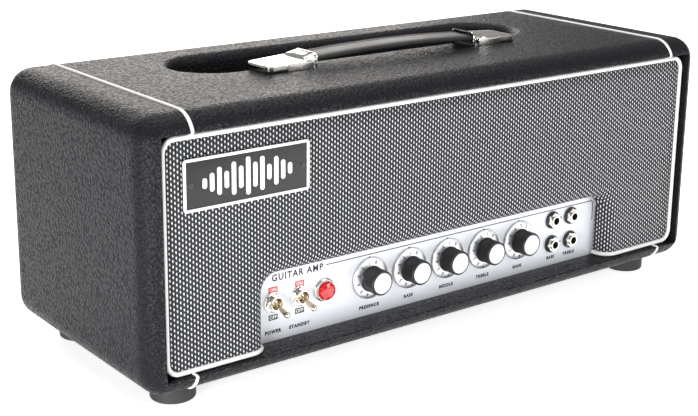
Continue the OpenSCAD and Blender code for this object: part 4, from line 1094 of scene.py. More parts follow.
def grille_cloth():
    """Cloth stretched over the grille board: flat in front, turned back round the control opening.

    Rows run from the board's outer edge to the opening's edge, then round it; columns run
    along the opening from the left leg's foot over the top to the right leg's foot."""
    path_r = RECESS_CORNER_R + RECESS_EDGE_R
    half = RECESS_HALF + RECESS_EDGE_R
    top = RECESS_TOP + RECESS_EDGE_R
    base = CLOTH_BASE
    leg, bend, span = 12, 14, 60
    inner, normal = [], []
    for z in np.linspace(base, top - path_r, leg + 1)[:-1]:
        inner.append((-half, z))
        normal.append((1, 0))
    for t in np.radians(np.linspace(180, 90, bend + 1)):
        inner.append((-half + path_r + path_r * math.cos(t), top - path_r + path_r * math.sin(t)))
        normal.append((-math.cos(t), -math.sin(t)))
    for px in np.linspace(-half + path_r, half - path_r, span + 1)[1:-1]:
        inner.append((px, top))
        normal.append((0, -1))
    inner, normal = np.array(inner), np.array(normal, float)
    mirror = np.array([-1, 1])
    inner = np.concatenate([inner, inner[:leg + bend + 1][::-1] * mirror])
    normal = np.concatenate([normal, normal[:leg + bend + 1][::-1] * mirror])
    r = BOARD_CORNER_R
    outer = []
    for t in np.radians(np.linspace(270, 180, 5)):
        outer.append((-CLOTH_X + r + r * math.cos(t), base + r + r * math.sin(t)))
    for z in np.linspace(base + r, top + 22 * MM, leg - 3)[1:]:
        outer.append((-CLOTH_X, z))
    side = [(-CLOTH_X, z) for z in np.linspace(top + 22 * MM, CLOTH_TOP - r, 6)[1:]]
    side += [(-CLOTH_X + r + r * math.cos(t), CLOTH_TOP - r + r * math.sin(t))
             for t in np.radians(np.linspace(180, 90, 6)[1:])]
    side += [(px, CLOTH_TOP) for px in np.linspace(-CLOTH_X + r, -half + path_r, 5)[1:]]
    outer += side
    outer += [(px, CLOTH_TOP) for px in np.linspace(-half + path_r, half - path_r, span + 1)[1:-1]]
    outer = np.array(outer)
    outer = np.concatenate([outer, outer[:leg + bend + 1][::-1] * mirror])
    wrap_r = RECESS_EDGE_R + CLOTH_T
    rows, uvs = [], []
    for t in np.linspace(0, 1, 9):
        flat = outer * (1 - t) + inner * t
        rows.append(upright(flat, CLOTH_Y))
        uvs.append(flat)
    for a in np.radians(np.linspace(0, 90, 11)[1:]):
        away = wrap_r * math.sin(a)
        y = CLOTH_Y + wrap_r * (1 - math.cos(a))
        flat = inner + normal * away
        rows.append(upright(flat, y))
        uvs.append(inner + normal * wrap_r * a)
    last = inner + normal * wrap_r
    rows.append(upright(last, BAFFLE_BACK))
    uvs.append(inner + normal * (wrap_r * math.pi / 2 + 2.2 * MM))
    points = np.concatenate(rows)
    uv = np.concatenate(uvs)
    faces = grid_faces(len(rows), len(inner))
    a, b, c = points[faces[0][0]], points[faces[0][1]], points[faces[0][2]]
    if np.cross(b - a, c - a)[1] > 0:
        faces = [face[::-1] for face in faces]
    made = piece("grille_cloth_sheet", points, faces, GRILLE_WEAVE, "grille_fabric", uv=uv,
                 replaces=("grille_cloth",))
    thick = made.modifiers.new("cloth", "SOLIDIFY")
    thick.thickness = 0.6 * MM
    thick.offset = -1
    rise = top - base
    straight = 2 * (rise - path_r) + 2 * (half - path_r)
    turned = straight * (wrap_r * math.pi / 2 + BAFFLE_BACK - CLOTH_Y - wrap_r)
    turned += math.pi * wrap_r * (path_r * math.pi / 2 - wrap_r)
    turned += math.pi * (path_r - wrap_r) * (BAFFLE_BACK - CLOTH_Y - wrap_r)
    return made


cabinet_covering()
cabinet_piping()
grille_piping()
grille_cloth()


# ------------------------------------------------------------------ badge


def badge():
    """Black plate with a raised white border, a generic motif of bars, and two screws."""
    low, high = BADGE_LOW, BADGE_HIGH
    points, faces = bevelled_box(low, high, 0.8 * MM, 3)
    piece("badge_base", points, outward(points, faces), PLATE_BLACK, "badge_black",
          replaces=("badge_plate",), angle=40)
    mid = (low + high) / 2
    front = low.y
    border = 2.2 * MM
    half_w, half_h = (high.x - low.x - border) / 2, (high.z - low.z - border) / 2
    r = 1.6 * MM
    line = []
    for sx, sz, start in ((1, 1, 0), (-1, 1, 90), (-1, -1, 180), (1, -1, 270)):
        line += [(mid.x + px, mid.z + pz) for px, pz in
                 arc(sx * (half_w - r), sz * (half_h - r), r, start, start + 90, 6)]
    parts = [band(np.array(line), border, front - 0.9 * MM, front + 0.2 * MM, 0.35 * MM)]
    heights = [8, 14, 21, 13, 25, 17, 29, 19, 26, 12, 22, 15, 9]
    pitch, width = 6.2 * MM, 3.6 * MM
    for k, tall in enumerate(heights):
        x = mid.x + (k - (len(heights) - 1) / 2) * pitch
        parts.append(stud(x, mid.z, width, tall * MM, front - 0.9 * MM, front + 0.2 * MM))
    piece("badge_motif", *merged(*parts), ENAMEL_WHITE, "badge_white",
          replaces=("badge_emblem",), angle=40)
    parts = []
    for sx in (-1, 1):
        points, faces = screw_head(2.2 * MM, 0.9 * MM)
        parts.append((moved(points, mid.x + sx * 49 * MM, front, mid.z), faces))
    piece("badge_screw_heads", *merged(*parts), BLACK_SCREW, "zinc_screw",
          replaces=("badge_screws",), angle=35)


def band(line, width, top, back, ease):
    """A raised flat band along a closed (x, z) line, its front edges eased.

    Each point moves half the width each way along the line's normal."""
    ahead = np.roll(line, -1, 0) - np.roll(line, 1, 0)
    ahead /= np.linalg.norm(ahead, axis=1)[:, None]
    normal = np.stack([ahead[:, 1], -ahead[:, 0]], 1)
    half = width / 2
    ring = [(half, back), (half, top + ease), (half - ease * 0.3, top + ease * 0.3),
            (half - ease, top), (ease - half, top), (ease * 0.3 - half, top + ease * 0.3),
            (-half, top + ease), (-half, back)]
    rows = [upright(line + normal * off, y) for off, y in ring]
    points = np.stack(rows, 1).reshape(-1, 3)
    faces = grid_faces(len(line), len(ring), True, True)
    return points, outward(points, faces)


def stud(x, z, width, height, top, back):
    """An upright raised bar with round ends: rings that shrink at its eased front edges."""
    r = width / 2
    t = np.radians(np.linspace(0, 180, 13))
    up = np.stack([np.cos(t), np.sin(t)], 1)
    directions = np.concatenate([up, -up])
    centres = np.concatenate([np.full(13, height / 2 - r), np.full(13, r - height / 2)])
    rows = []
    steps = ((0, back), (0, top + 0.4 * MM), (0.12 * MM, top + 0.12 * MM), (0.4 * MM, top))
    for shrink, y in steps:
        rows.append(np.stack([x + directions[:, 0] * (r - shrink), np.full(len(directions), y),
                              z + centres + directions[:, 1] * (r - shrink)], 1))
    points = np.concatenate(rows)
    return points, outward(points, bar_faces(len(rows), len(directions)))


def screw_head(radius, height):
    """A domed head with a cross recess, its face to the front, seated at y = 0.

    The dome is an arc; the recess lowers the points that lie near the two crossing lines."""
    t = np.radians(np.linspace(0, 82, 10))
    ring = np.stack([radius * np.cos(t), -height * (0.25 + 0.75 * np.sin(t))], 1)
    profile = np.concatenate([[(0, 0.0), (radius, 0.0)], ring, [(0, -height)]])
    points, faces, _ = lathe(profile, 32)
    x, y, z = points.T
    near_x = (np.abs(x) < radius * 0.17) & (np.abs(z) < radius * 0.62)
    near_z = (np.abs(z) < radius * 0.17) & (np.abs(x) < radius * 0.62)
    dip = (near_x | near_z) & (y < -height * 0.5)
    y = np.where(dip, y + height * 0.5, y)
    points = np.stack([x, y, z], 1)
    return points, outward(points, faces)


# ------------------------------------------------------------------ control panel


def panel_print():
    """Lettering and lines on the panel, a hair in front of it."""
    y = PANEL_Y - 0.03 * MM
    parts = []

    def put(text, cap, x, z, bold, spacing, stretch=1.0):
        """Adds a word; cap is the height of its capitals."""
        points, faces = letters(text, cap / 0.729, bold, spacing, 0.04 * MM)
        parts.append((moved(points * (stretch, 1, 1), x, y, z), faces))

    def label(text, x):
        """Adds a control's name."""
        put(text, 2.75 * MM, x, LABEL_Z, 0.26 * MM, 1.26)

    def dot(radius, x, z):
        """Adds a printed dot."""
        half = 0.02 * MM
        points, faces, _ = lathe([(0, half), (radius, half), (radius, -half), (0, -half)], 20)
        parts.append((moved(points, x, y, z), outward(points, faces)))

    put("GUITAR AMP", 5.6 * MM, -148.5 * MM, 82.4 * MM, 0.2 * MM, 1.2, 0.96)
    for control in CONTROLS:
        x = centre_of("knob_" + control).x
        label(control.upper(), x)
        dot(0.9 * MM, x, 80.2 * MM)
    switch_xs = [centre_of(lever).x for lever in ("power_lever", "standby_lever")]
    for text, x in zip(("POWER", "STANDBY", "BASS", "TREBLE"), (*switch_xs, *JACK_XS)):
        label(text, x)
    for z in JACK_ZS:
        dot(0.8 * MM, sum(JACK_XS) / 2, z)
    left, right, high, r = -121 * MM, 187 * MM, 83 * MM, 3 * MM
    outline = [(left, high), (right - r, high), *arc(right - r, high - r, r, 90, 0, 6)[1:],
               (right, 64 * MM)]
    parts.append(ribbon(np.array(outline), 0.85 * MM, y))
    piece("panel_lettering", *merged(*parts), INK_BLACK, "jack_black", smooth=False)
    blocks, words = {"ON": [], "OFF": []}, []
    for x in switch_xs:
        for text, low, high in (("ON", 70.4, 75.2), ("OFF", 47.8, 52.4)):
            blocks[text].append(bevelled_box((x - 4.3 * MM, y, low * MM),
                                             (x + 4.3 * MM, PANEL_Y, high * MM), 0.01 * MM, 1))
            points, faces = letters(text, 3.9 * MM, 0.09 * MM, 1.05, 0.04 * MM)
            middle = (low + high) / 2 * MM
            words.append((moved(points, x, PANEL_Y - 0.07 * MM, middle), faces))
    piece("panel_on_marks", *merged(*blocks["ON"]), INK_RED, "jewel_red", smooth=False)
    piece("panel_off_marks", *merged(*blocks["OFF"]), INK_BLACK, "jack_black", smooth=False)
    piece("panel_mark_letters", *merged(*words), INK_WHITE, "badge_white", smooth=False)


def ribbon(line, width, y):
    """A flat printed line along (x, z) points: each point is moved half the width each way along
    the mean of the two normals beside it."""
    step = np.diff(line, axis=0)
    step /= np.linalg.norm(step, axis=1)[:, None]
    normal = np.stack([-step[:, 1], step[:, 0]], 1)
    mean = np.concatenate([normal[:1], normal[1:] + normal[:-1], normal[-1:]])
    mean /= (np.linalg.norm(mean, axis=1) ** 2)[:, None] / np.array(
        [1.0 if k in (0, len(line) - 1) else 2.0 for k in range(len(line))])[:, None]
    rings = []
    for off, depth in ((0.5, 0), (0.5, 0.04 * MM), (-0.5, 0.04 * MM), (-0.5, 0)):
        rings.append(upright(line + mean * off * width, y + depth))
    points = np.stack(rings, 1).reshape(-1, 3)
    return points, outward(points, bar_faces(len(line), 4))


def knob(control, reading):
    """One control's dial, fluted grip, bright cap and printed figures, which turn together."""
    node = "knob_" + control
    body = "control_" + control
    low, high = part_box(node)
    x, z = (low.x + high.x) / 2, (low.z + high.z) / 2
    dial_r = (high.x - low.x) / 2
    back, face = high.y, low.y
    dial_t = 2.6 * MM
    front = back - dial_t
    dish = [(dial_r - 1.6 * MM, 0.75 * MM), (dial_r - 3.4 * MM, 0.38 * MM),
            (dial_r - 5.4 * MM, 0.1 * MM)]
    profile = [(9 * MM, back), (dial_r - 0.3 * MM, back), (dial_r, back - 0.3 * MM),
               (dial_r, back - 1.1 * MM), (dial_r - 0.25 * MM, back - 1.4 * MM),
               *[(r, front + sunk) for r, sunk in dish],
               (10.2 * MM, front), (9 * MM, front), (9 * MM, back)]
    points, faces, uv = lathe(profile, 96)
    piece("dial_" + control, moved(points, x, 0, z), outward(points, faces), DIAL_SILVER,
          "panel_silver", body, uv=uv, replaces=(node,), angle=30)
    grip_r = 10.6 * MM
    cap_r = 8.9 * MM
    profile = np.concatenate([
        [(3.1 * MM, front + 0.2 * MM), (grip_r + 0.5 * MM, front + 0.2 * MM)],
        [(grip_r + 0.5 * MM, front - 0.5 * MM), (grip_r + 0.1 * MM, front - 0.9 * MM)],
        np.stack([np.full(6, grip_r), np.linspace(front - 1.2 * MM, face + 1.5 * MM, 6)], 1),
        [(grip_r - 0.15 * MM, face + 0.8 * MM), (grip_r - 0.6 * MM, face + 0.3 * MM),
         (grip_r - 1.1 * MM, face + 0.12 * MM), (cap_r + 0.05 * MM, face + 0.15 * MM),
         (cap_r, face + 0.9 * MM), (3.1 * MM, face + 0.9 * MM), (3.1 * MM, front + 0.2 * MM)]])

    def fluted(r, y, t):
        """Flutes that fade out towards the skirt and the face."""
        fade = np.clip((front - 1.0 * MM - y) / (1.2 * MM), 0, 1)
        fade = fade * np.clip((y - face - 0.9 * MM) / (0.8 * MM), 0, 1)
        groove = np.abs(np.sin(t * 22)) ** 0.8
        return r - np.where(r > grip_r - 0.3 * MM, fade * (1 - groove) * 0.75 * MM, 0)

    points, faces, uv = lathe(profile, 264, fluted)
    piece("grip_" + control, moved(points, x, 0, z), outward(points, faces), KNOB_BLACK,
          "knob_black", body, uv=uv, angle=35)
    profile = [(0, face + 1.3 * MM), (cap_r - 0.05 * MM, face + 1.3 * MM),
               (cap_r - 0.05 * MM, face + 0.25 * MM), (cap_r - 0.35 * MM, face + 0.02 * MM),
               (cap_r - 0.9 * MM, face + 0.06 * MM), (cap_r * 0.55, face + 0.16 * MM),
               (cap_r * 0.25, face + 0.19 * MM), (0, face + 0.2 * MM)]
    points, faces, uv = lathe(profile, 72)
    piece("cap_" + control, moved(points, x, 0, z), outward(points, faces), CAP_SILVER,
          "panel_silver", body, uv=uv, angle=35)
    parts = []
    for digit in range(11):
        turn = math.radians((digit - reading) * 30)
        points, faces = letters(str(digit), 4.1 * MM, 0.12 * MM, 0.86, 0.05 * MM)
        points = moved(points, z=13.9 * MM)
        points = spun(points, turn)
        r = np.hypot(points[:, 0], points[:, 2])
        points[:, 1] += front + np.interp(r, *np.array(dish[::-1]).T) - 0.03 * MM
        parts.append((moved(points, x, 0, z), faces))
    piece("figures_" + control, *merged(*parts), INK_GREY, "jack_black", body, smooth=False)


def hex_nut(across, height, bore, top):
    """A hexagon nut with chamfered corners: its outline is the lesser of the hexagon and a cone.

    Its face is at y = top and it runs back from there."""
    half = across / 2
    corner = half / math.cos(math.pi / 6)

    def outline(r, y, t):
        """The hexagon's radius, kept inside the chamfer's cone."""
        around_flat = (t + math.pi / 6) % (math.pi / 3) - math.pi / 6
        hexagon = half / np.cos(around_flat)
        from_face = y - top
        cone = half * 1.01 + np.minimum(from_face, height - from_face) * 1.9
        return np.where(r > bore * 1.3, np.minimum(hexagon, np.minimum(cone, corner)), r)

    body = np.concatenate([
        [(bore, top + height), (half * 0.98, top + height)],
        np.stack([np.full(8, corner), np.linspace(top + height, top, 8)], 1),
        [(half * 0.98, top), (bore + 0.35 * MM, top), (bore, top + 0.35 * MM),
         (bore, top + height)]])

    def shaped(r, y, t):
        """Only the corner's ring takes the outline."""
        return np.where(r > corner - 1e-9, outline(r, y, t), r)

    return lathe(body, 96, shaped)


def washer(radius, bore, top, back):
    """A flat ring with softened edges."""
    e = min(0.3 * MM, (back - top) * 0.35)
    profile = [(bore, back), (radius - e, back), (radius, back - e), (radius, top + e),
               (radius - e, top), (bore + e, top), (bore, top + e), (bore, back)]
    return lathe(profile, 72)


def jacks():
    """Front and rear sockets: a black washer and a hexagon nut on each."""
    nut_parts, washer_parts = [], []
    spots = [(x, z, PANEL_Y, turned_to) for x in JACK_XS for z in JACK_ZS]
    spots += [(x, OUTPUT_Z, -REAR_HIGH.y, faced_back) for x in OUTPUT_XS]
    for (x, z, face, seated), twist in zip(spots, (0.12, 0.38, -0.2, 0.5, 0.12, 0.38)):
        washer_parts.append(seated(washer(8 * MM, 4.7 * MM, face - 1.7 * MM, face), x, z, 0))
        nut = hex_nut(12.4 * MM, 2.8 * MM, 4.6 * MM, face - 4.5 * MM)
        nut_parts.append(seated(nut, x, z, twist))
    piece("jack_rings", *merged(*washer_parts), NYLON_BLACK, "jack_black",
          replaces=("jack_washers",), angle=35)
    piece("jack_hex_nuts", *merged(*nut_parts), NICKEL, "jack_metal", replaces=("jack_nuts",),
          angle=25)


def turned_to(shape, x, z, turn):
    """Puts a lathe shape on the panel at (x, z), turned about its axis."""
    points, faces, _ = shape
    points = spun(points, turn)
    return moved(points, x, 0, z), outward(points, faces)


def faced_back(shape, x, z, turn):
    """As turned_to, but facing the rear."""
    points, faces = turned_to(shape, 0, 0, turn)
    points = points * (-1, -1, 1)
    return moved(points, x, 0, z), outward(points, faces)


def toothed(r, _, t):
    """A lock washer's teeth round its rim."""
    return np.where(r > 8.2 * MM, r - 0.35 * MM * (np.sin(t * 20) > 0), r)


def switches():
    """Thin hexagon nuts, toothed washers and the two bat levers."""
    parts = []
    for k, lever in enumerate(("power_lever", "standby_lever")):
        x = centre_of(lever).x
        z = CONTROL_Z
        nut = hex_nut(13.6 * MM, 2.2 * MM, 5.95 * MM, PANEL_Y - 3.3 * MM)
        parts.append(turned_to(nut, x, z, 0.2 + 0.3 * k))

        ring = [(5.95 * MM, PANEL_Y), (8.5 * MM, PANEL_Y), (8.5 * MM, PANEL_Y - 0.9 * MM),
                (7.8 * MM, PANEL_Y - 1.1 * MM), (5.95 * MM, PANEL_Y - 1.1 * MM),
                (5.95 * MM, PANEL_Y)]
        parts.append(turned_to(lathe(ring, 160, toothed), x, z, 0))
        bat_lever(lever, x, z)
    piece("switch_hex_nuts", *merged(*parts), NICKEL, "nickel", replaces=("switch_nuts",), angle=25)


def bat_lever(node, x, z):
    """A polished bat: a narrow neck that swells to a rounded tip, tilted down from its pivot.

    The profile runs along the lever; the tilt turns it in the YZ plane, down at the front."""
    pivot = PANEL_Y - 1.5 * MM
    length = 18.5 * MM
    s = np.linspace(0, 1, 14)
    neck = np.stack([(1.65 + 0.85 * s ** 1.5) * MM, 3 * MM + s * (length - 3 * MM)], 1)
    tip = arc(0, length, 2.5 * MM, 0, 90, 9)
    ball = arc(0, 0, 3.3 * MM, -90, 60, 12)
    points, faces, _ = lathe(np.concatenate([ball, neck, tip[1:]]), 40)
    c, s = math.cos(math.radians(15)), math.sin(math.radians(15))
    along, up = points[:, 1], points[:, 2]
    points = np.stack([points[:, 0], -along * c - up * s, up * c - along * s], 1)
    body = "switch_power" if node == "power_lever" else "switch_standby"
    piece(node + "_bat", moved(points, x, pivot, z), outward(points, faces), WARM_NICKEL, "nickel",
          body, replaces=(node,), angle=50)


def lamp():
    """Red faceted jewel in a stepped bright bezel."""
    middle = (BEZEL_LOW + BEZEL_HIGH) / 2
    r = (BEZEL_HIGH.x - BEZEL_LOW.x) / 2
    back, front = PANEL_Y, BEZEL_LOW.y
    profile = [(6.4 * MM, back), (r - 0.2 * MM, back), (r, back - 0.3 * MM),
               (r, back - 0.9 * MM), (r - 0.3 * MM, back - 1.3 * MM),
               (r - 0.9 * MM, back - 1.5 * MM), (r - 1.0 * MM, front + 1.0 * MM),
               (r - 1.1 * MM, front + 0.3 * MM), (r - 1.3 * MM, front), (8.15 * MM, front),
               (8.05 * MM, front + 0.5 * MM), (6.4 * MM, front + 0.8 * MM), (6.4 * MM, back)]
    points, faces, _ = lathe(profile, 96)
    piece("lamp_ring", moved(points, middle.x, 0, middle.z), outward(points, faces), NICKEL,
          "nickel", replaces=("lamp_bezel",), angle=35)
    lens_r = 7.95 * MM
    tip = LENS_LOW.y
    base = front + 0.9 * MM
    rings = [(lens_r, base, 0), (lens_r, front - 0.6 * MM, 0), (lens_r * 0.86, tip + 1.5 * MM, 0.5),
             (lens_r * 0.6, tip + 0.55 * MM, 0), (lens_r * 0.3, tip + 0.1 * MM, 0.5), (0, tip, 0)]
    n = 16
    verts = []
    for rr, y, shift in rings:
        t = (np.arange(n) + shift) / n * TAU
        verts.append(np.stack([rr * np.sin(t), np.full(n, y), rr * np.cos(t)], 1))
    faces = []
    for k in range(len(rings) - 1):
        for j in range(n):
            a, b = k * n + j, k * n + (j + 1) % n
            c, d = (k + 1) * n + (j + 1) % n, (k + 1) * n + j
            if rings[k + 1][2] > rings[k][2]:
                faces += [[a, b, d], [b, c, d]]
            elif rings[k + 1][2] < rings[k][2]:
                faces += [[a, b, c], [a, c, d]]
            else:
                faces.append([a, b, c, d])
    faces.append(list(range(n)))
    points = np.concatenate(verts)
    points, faces, _ = weld(points, faces)
    piece("lamp_jewel", moved(points, middle.x, 0, middle.z), outward(points, faces), JEWEL,
          "jewel_red", smooth=False, replaces=("lamp_lens",))


# ------------------------------------------------------------------ handle


def strap():
    """Moulded black strap: a loft of rounded sections, with raised lines along its top."""
    body = "strap"
    y0 = (STRAP_LOW.y + STRAP_HIGH.y) / 2
    half_w = 14 * MM
    thick = 5.6 * MM
    under = TOP + 4.6 * MM
    end = 86 * MM
    arch = 2.6 * MM
    xs = np.linspace(-end - 5 * MM, end + 5 * MM, 61)
    t = np.concatenate([np.linspace(0, math.pi, 141)[:-1], np.linspace(math.pi, TAU, 31)[:-1]])
    c, s = np.cos(t), np.sin(t)
    power = 2 / 5.0
    v = np.sign(c) * np.abs(c) ** power * half_w
    h = np.sign(s) * np.abs(s) ** power * thick / 2
    ridge = np.zeros(len(t))
    for at in (-0.12, 0.16, 0.44, 0.72):
        ridge += np.exp(-((v / half_w - at) / 0.045) ** 2)
    ridge = np.where(s > 0.3, ridge, 0) * 0.45 * MM
    rings = []
    for x in xs:
        lift = arch * (1 - min(1, (x / end) ** 2))
        squeeze = np.interp(abs(x), [end - 6 * MM, end - 2 * MM, end + 5 * MM], [1, 0.95, 0.93])
        thinner = np.interp(abs(x), [end - 5 * MM, end, end + 5 * MM], [1, 0.9, 0.66])
        z = under + lift + (thick / 2 + h - 0.45 * MM * (s > 0.3) + ridge) * thinner
        rings.append(np.stack([np.full(len(t), x), y0 + v * squeeze, z], 1))
    points = np.concatenate(rings)
    faces = bar_faces(len(xs), len(t))
    piece("strap_moulding", points, outward(points, faces), STRAP_BLACK, "strap_black", body,
          replaces=("handle_strap",), angle=60)


def handle_caps():
    """Bright end caps: a shallow tray open below, with a raised sleeve over its inner end.

    Each shell is a row of sections across it. A section's half width, height and corner radius
    follow the shell's outline; a row with a small radius at full width gives a crisp edge."""
    y0 = (CAPS_LOW.y + CAPS_HIGH.y) / 2
    tray = [
        (94.6, 16.4, 7.9, 0.9), (95.0, 16.5, 8.1, 0.9), (100.0, 16.5, 7.8, 0.9),
        (106.0, 16.5, 7.45, 0.9), (112.0, 16.5, 7.1, 0.9), (118.0, 16.5, 6.75, 0.9),
        (124.0, 16.5, 6.4, 0.9), (129.4, 16.5, 6.1, 0.9), (130.8, 16.4, 6.02, 0.9),
        (132.4, 15.9, 5.93, 0.9), (133.8, 14.9, 5.85, 0.9), (134.9, 13.5, 5.78, 0.9),
        (135.5, 12.2, 5.55, 0.9), (135.9, 11.2, 5.0, 0.9), (136.0, 10.6, 4.2, 0.8),
        (136.0, 10.4, 3.0, 0.7), (136.0, 10.4, 1.4, 0.4), (136.0, 10.4, 0.2, 0.1)]
    sleeve = [
        (86.4, 14.3, 11.5, 3.6), (86.0, 14.7, 11.9, 3.8), (86.3, 15.1, 12.1, 3.9),
        (87.1, 15.1, 12.1, 3.9), (88.0, 14.8, 11.7, 3.7), (91.0, 14.8, 11.1, 3.5),
        (94.5, 14.8, 10.3, 3.2), (97.4, 14.8, 9.6, 2.8), (98.2, 14.6, 9.2, 2.4),
        (98.6, 14.1, 8.6, 1.8), (98.7, 13.8, 7.9, 1.5)]
    parts = []
    for side in (-1, 1):
        for stations in (tray, sleeve):
            rows = [cap_section(x * MM * side, y0, half * MM, rise * MM, r * MM)
                    for x, half, rise, r in stations]
            faces = grid_faces(len(rows), len(rows[0]))
            if side > 0:
                faces = [face[::-1] for face in faces]
            parts.append((np.concatenate(rows), faces))
    points, faces = merged(*parts)
    shell = piece("handle_end_caps", points, faces, NICKEL, "nickel", replaces=("handle_caps",),
                  angle=30)
    thick = shell.modifiers.new("plate", "SOLIDIFY")
    thick.thickness = 0.8 * MM
    thick.offset = -1
    parts = []
    for side in (-1, 1):
        low = (min(side * 91, side * 117) * MM, y0 - 17.2 * MM, TOP + 0.2 * MM)
        high = (max(side * 91, side * 117) * MM, y0 - 16.3 * MM, TOP + 6.6 * MM)
        tab = bevelled_box(low, high, 0.35 * MM, 3)
        parts.append((tab[0], outward(*tab)))
    piece("handle_cap_tabs", *merged(*parts), NICKEL, "nickel", angle=40)


def cap_section(x, y0, half, rise, r):
    """An open rounded rectangle standing on the cabinet's top: up one side, across and down."""
    r = min(r, rise * 0.95, half * 0.9)
    corner = arc(0, 0, r, 180, 90, 5)
    up = np.array([[-half, share * (rise - r)] for share in (0.0, 0.5)])
    left = corner + [r - half, rise - r]
    across = np.array([[(r - half) * (1 - share) + (half - r) * share, rise]
                       for share in (0.25, 0.5, 0.75)])
    outline = np.concatenate([up, left, across])
    other = np.concatenate([up, left])[::-1] * [-1, 1]
    outline = np.concatenate([outline, other])
    return np.stack([np.full(len(outline), x), y0 + outline[:, 0],
                     TOP + 0.05 * MM + outline[:, 1]], 1)


# ------------------------------------------------------------------ feet and rear


def feet():
    """Rubber feet: a tapered puck with rounded edges and a recess for the screw."""
    parts = []
    x0 = FEET_HIGH.x - 18 * MM
    y0 = FEET_HIGH.y - 18 * MM
    r, h = 18 * MM, BASE
    profile = np.concatenate([
        [(0, h - 0.02 * MM), (r - 0.4 * MM, h - 0.02 * MM), (r, h - 0.6 * MM)],
        [(r - 0.15 * MM, h * 0.5)], arc(r - 2.4 * MM, 2.2 * MM, 2.2 * MM, 10, -90, 6),
        [(9.5 * MM, 0), (8.5 * MM, 0.5 * MM), (7.2 * MM, 5 * MM), (0, 5 * MM)]])
    points, faces, _ = lathe(profile, 72)
    points = np.stack([points[:, 0], points[:, 2], points[:, 1]], 1)
    for sx in (-1, 1):
        for sy in (-1, 1):
            parts.append((moved(points, sx * x0, sy * y0, 0), outward(points, faces)))
    piece("rubber_feet", *merged(*parts), FOOT_RUBBER, "rubber_black", replaces=("feet",),
          angle=40)


def rear_lettering():
    """Plain words above the rear connections."""
    y = REAR_HIGH.y + 0.03 * MM
    parts = []
    words = (("MAINS", -150), ("FUSE", -112), ("FUSE", -86), ("SPEAKERS", 111))
    for text, x in words:
        points, faces = letters(text, 3.6 * MM, 0.05 * MM, 1.05, 0.04 * MM)
        points = points * (-1, -1, 1)
        parts.append((moved(points, x * MM, y, 84 * MM), faces))
    piece("rear_words", *merged(*parts), INK_GREY, "jack_black", smooth=False)


badge()
panel_print()
for name, reading in CONTROLS.items():
    knob(name, reading)
jacks()
switches()
lamp()
strap()
handle_caps()
feet()
rear_lettering()


# ------------------------------------------------------------------ finishes of the CAD nodes

FINISH_OF = {
    PLYWOOD: ["top_board", "bottom_board", "left_board", "right_board", "cleats", "grille_board"],
    VINYL: ["back_board"],
    ZINC: ["foot_screws", "grille_screws", "handle_plates", "handle_screws", "chassis_bolts",
           "back_screws"],
    PANEL_SILVER: ["control_panel", "rear_panel"],
    CHASSIS_STEEL: ["chassis", "pots", "pot_nuts", "shaft_presence", "shaft_bass", "shaft_middle",
                    "shaft_treble", "shaft_gain"],
    SWITCH_HOUSING: ["switch_bodies"],
    INLET_BLACK: ["lamp_holder", "mains_inlet", "fuse_holders"],
    JACK_BODY: ["input_jacks", "speaker_jacks"],
    VENT_PAINT: ["vent_mesh"],
    CORE_IRON: ["transformer_cores"],
    COIL_WRAP: ["transformer_coils"],
    VALVE_GLASS: ["power_valves", "preamp_valves"],
    CERAMIC: ["valve_sockets"],
    SLEEVE: ["filter_capacitors"],
    CIRCUIT: ["circuit_board"],
}

for finish, nodes in FINISH_OF.items():
    for node in nodes:
        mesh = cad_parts[node].data
        mesh.materials.clear()
        mesh.materials.append(finish)


# ------------------------------------------------------------------ floor, light and camera


def floor():
    """A wide plain sheet that the object stands on."""
    xs = np.linspace(-40, 40, 3)
    points = np.array([(x, y, 0.0) for y in (-40.0, 40.0) for x in xs])
    faces = grid_faces(2, 3)
    mesh = bpy.data.meshes.new("floor")
    mesh.from_pydata(points.tolist(), [], faces)
    mesh.materials.append(floor_finish())
    made = bpy.data.objects.new("floor", mesh)
    bpy.context.scene.collection.objects.link(made)


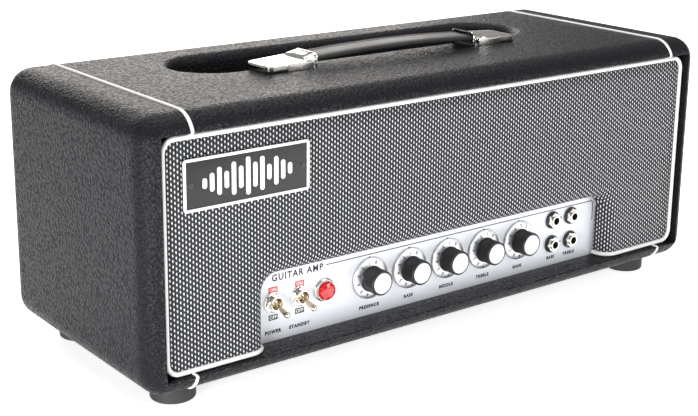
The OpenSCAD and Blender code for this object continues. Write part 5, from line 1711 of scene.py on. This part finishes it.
def area_light(name, at, towards, size, power, colour=(1, 1, 1)):
    """A rectangular light, unseen by the camera."""
    light = bpy.data.lights.new(name, "AREA")
    light.shape = "RECTANGLE"
    light.size, light.size_y = size
    light.energy = power
    light.color = colour
    made = bpy.data.objects.new(name, light)
    made.location = at
    made.visible_camera = False
    aim = Vector(towards) - Vector(at)
    made.rotation_euler = aim.to_track_quat("-Z", "Y").to_euler()
    bpy.context.scene.collection.objects.link(made)


COOL = (0.93, 0.96, 1.0)


def studio():
    """Soft light: broad from above, warm from behind, cool from the front's left and right."""
    bpy.context.scene.view_settings.view_transform = "Standard"
    world = bpy.data.worlds.new("studio")
    world.use_nodes = True
    background = world.node_tree.nodes["Background"]
    background.inputs[0].default_value = (1.0, 1.0, 1.0, 1)
    background.inputs[1].default_value = 0.31
    bpy.context.scene.world = world
    area_light("overhead", (0.1, 0.3, 1.9), (0, 0.0, 0.2), (2.2, 1.6), 40)
    area_light("back_glow", (0.75, 2.1, 0.85), (0, 0, 0.2), (2.0, 0.9), 19, (1.0, 0.95, 0.9))
    area_light("low_left", (-0.62, -0.31, 0.02), (-0.45, -0.2, 0.3), (0.3, 0.3), 4.2, COOL)
    area_light("front_left", (-1.7, -1.0, 0.3), (-0.2, 0, 0.1), (0.4, 0.5), 16, COOL)
    area_light("front_right", (1.2, -2.2, 1.1), (0, 0, 0.1), (1.0, 1.2), 26, (0.97, 0.985, 1.0))


def camera():
    """The viewpoint: front left and slightly above."""
    right = (0.78973, -0.61334, 0.012447)
    up = (0.15295, 0.21651, 0.96424)
    ahead = (0.59409, 0.75958, -0.26478)
    data = bpy.data.cameras.new("camera")
    data.lens = 71.42
    data.sensor_width = 36
    data.shift_x = -0.0179
    data.shift_y = -0.0577
    made = bpy.data.objects.new("camera", data)
    made.matrix_world = Matrix((
        (right[0], up[0], -ahead[0], -0.74277), (right[1], up[1], -ahead[1], -0.93187),
        (right[2], up[2], -ahead[2], 0.45026), (0, 0, 0, 1)))
    bpy.context.scene.collection.objects.link(made)
    bpy.context.scene.camera = made


floor()
studio()
camera()
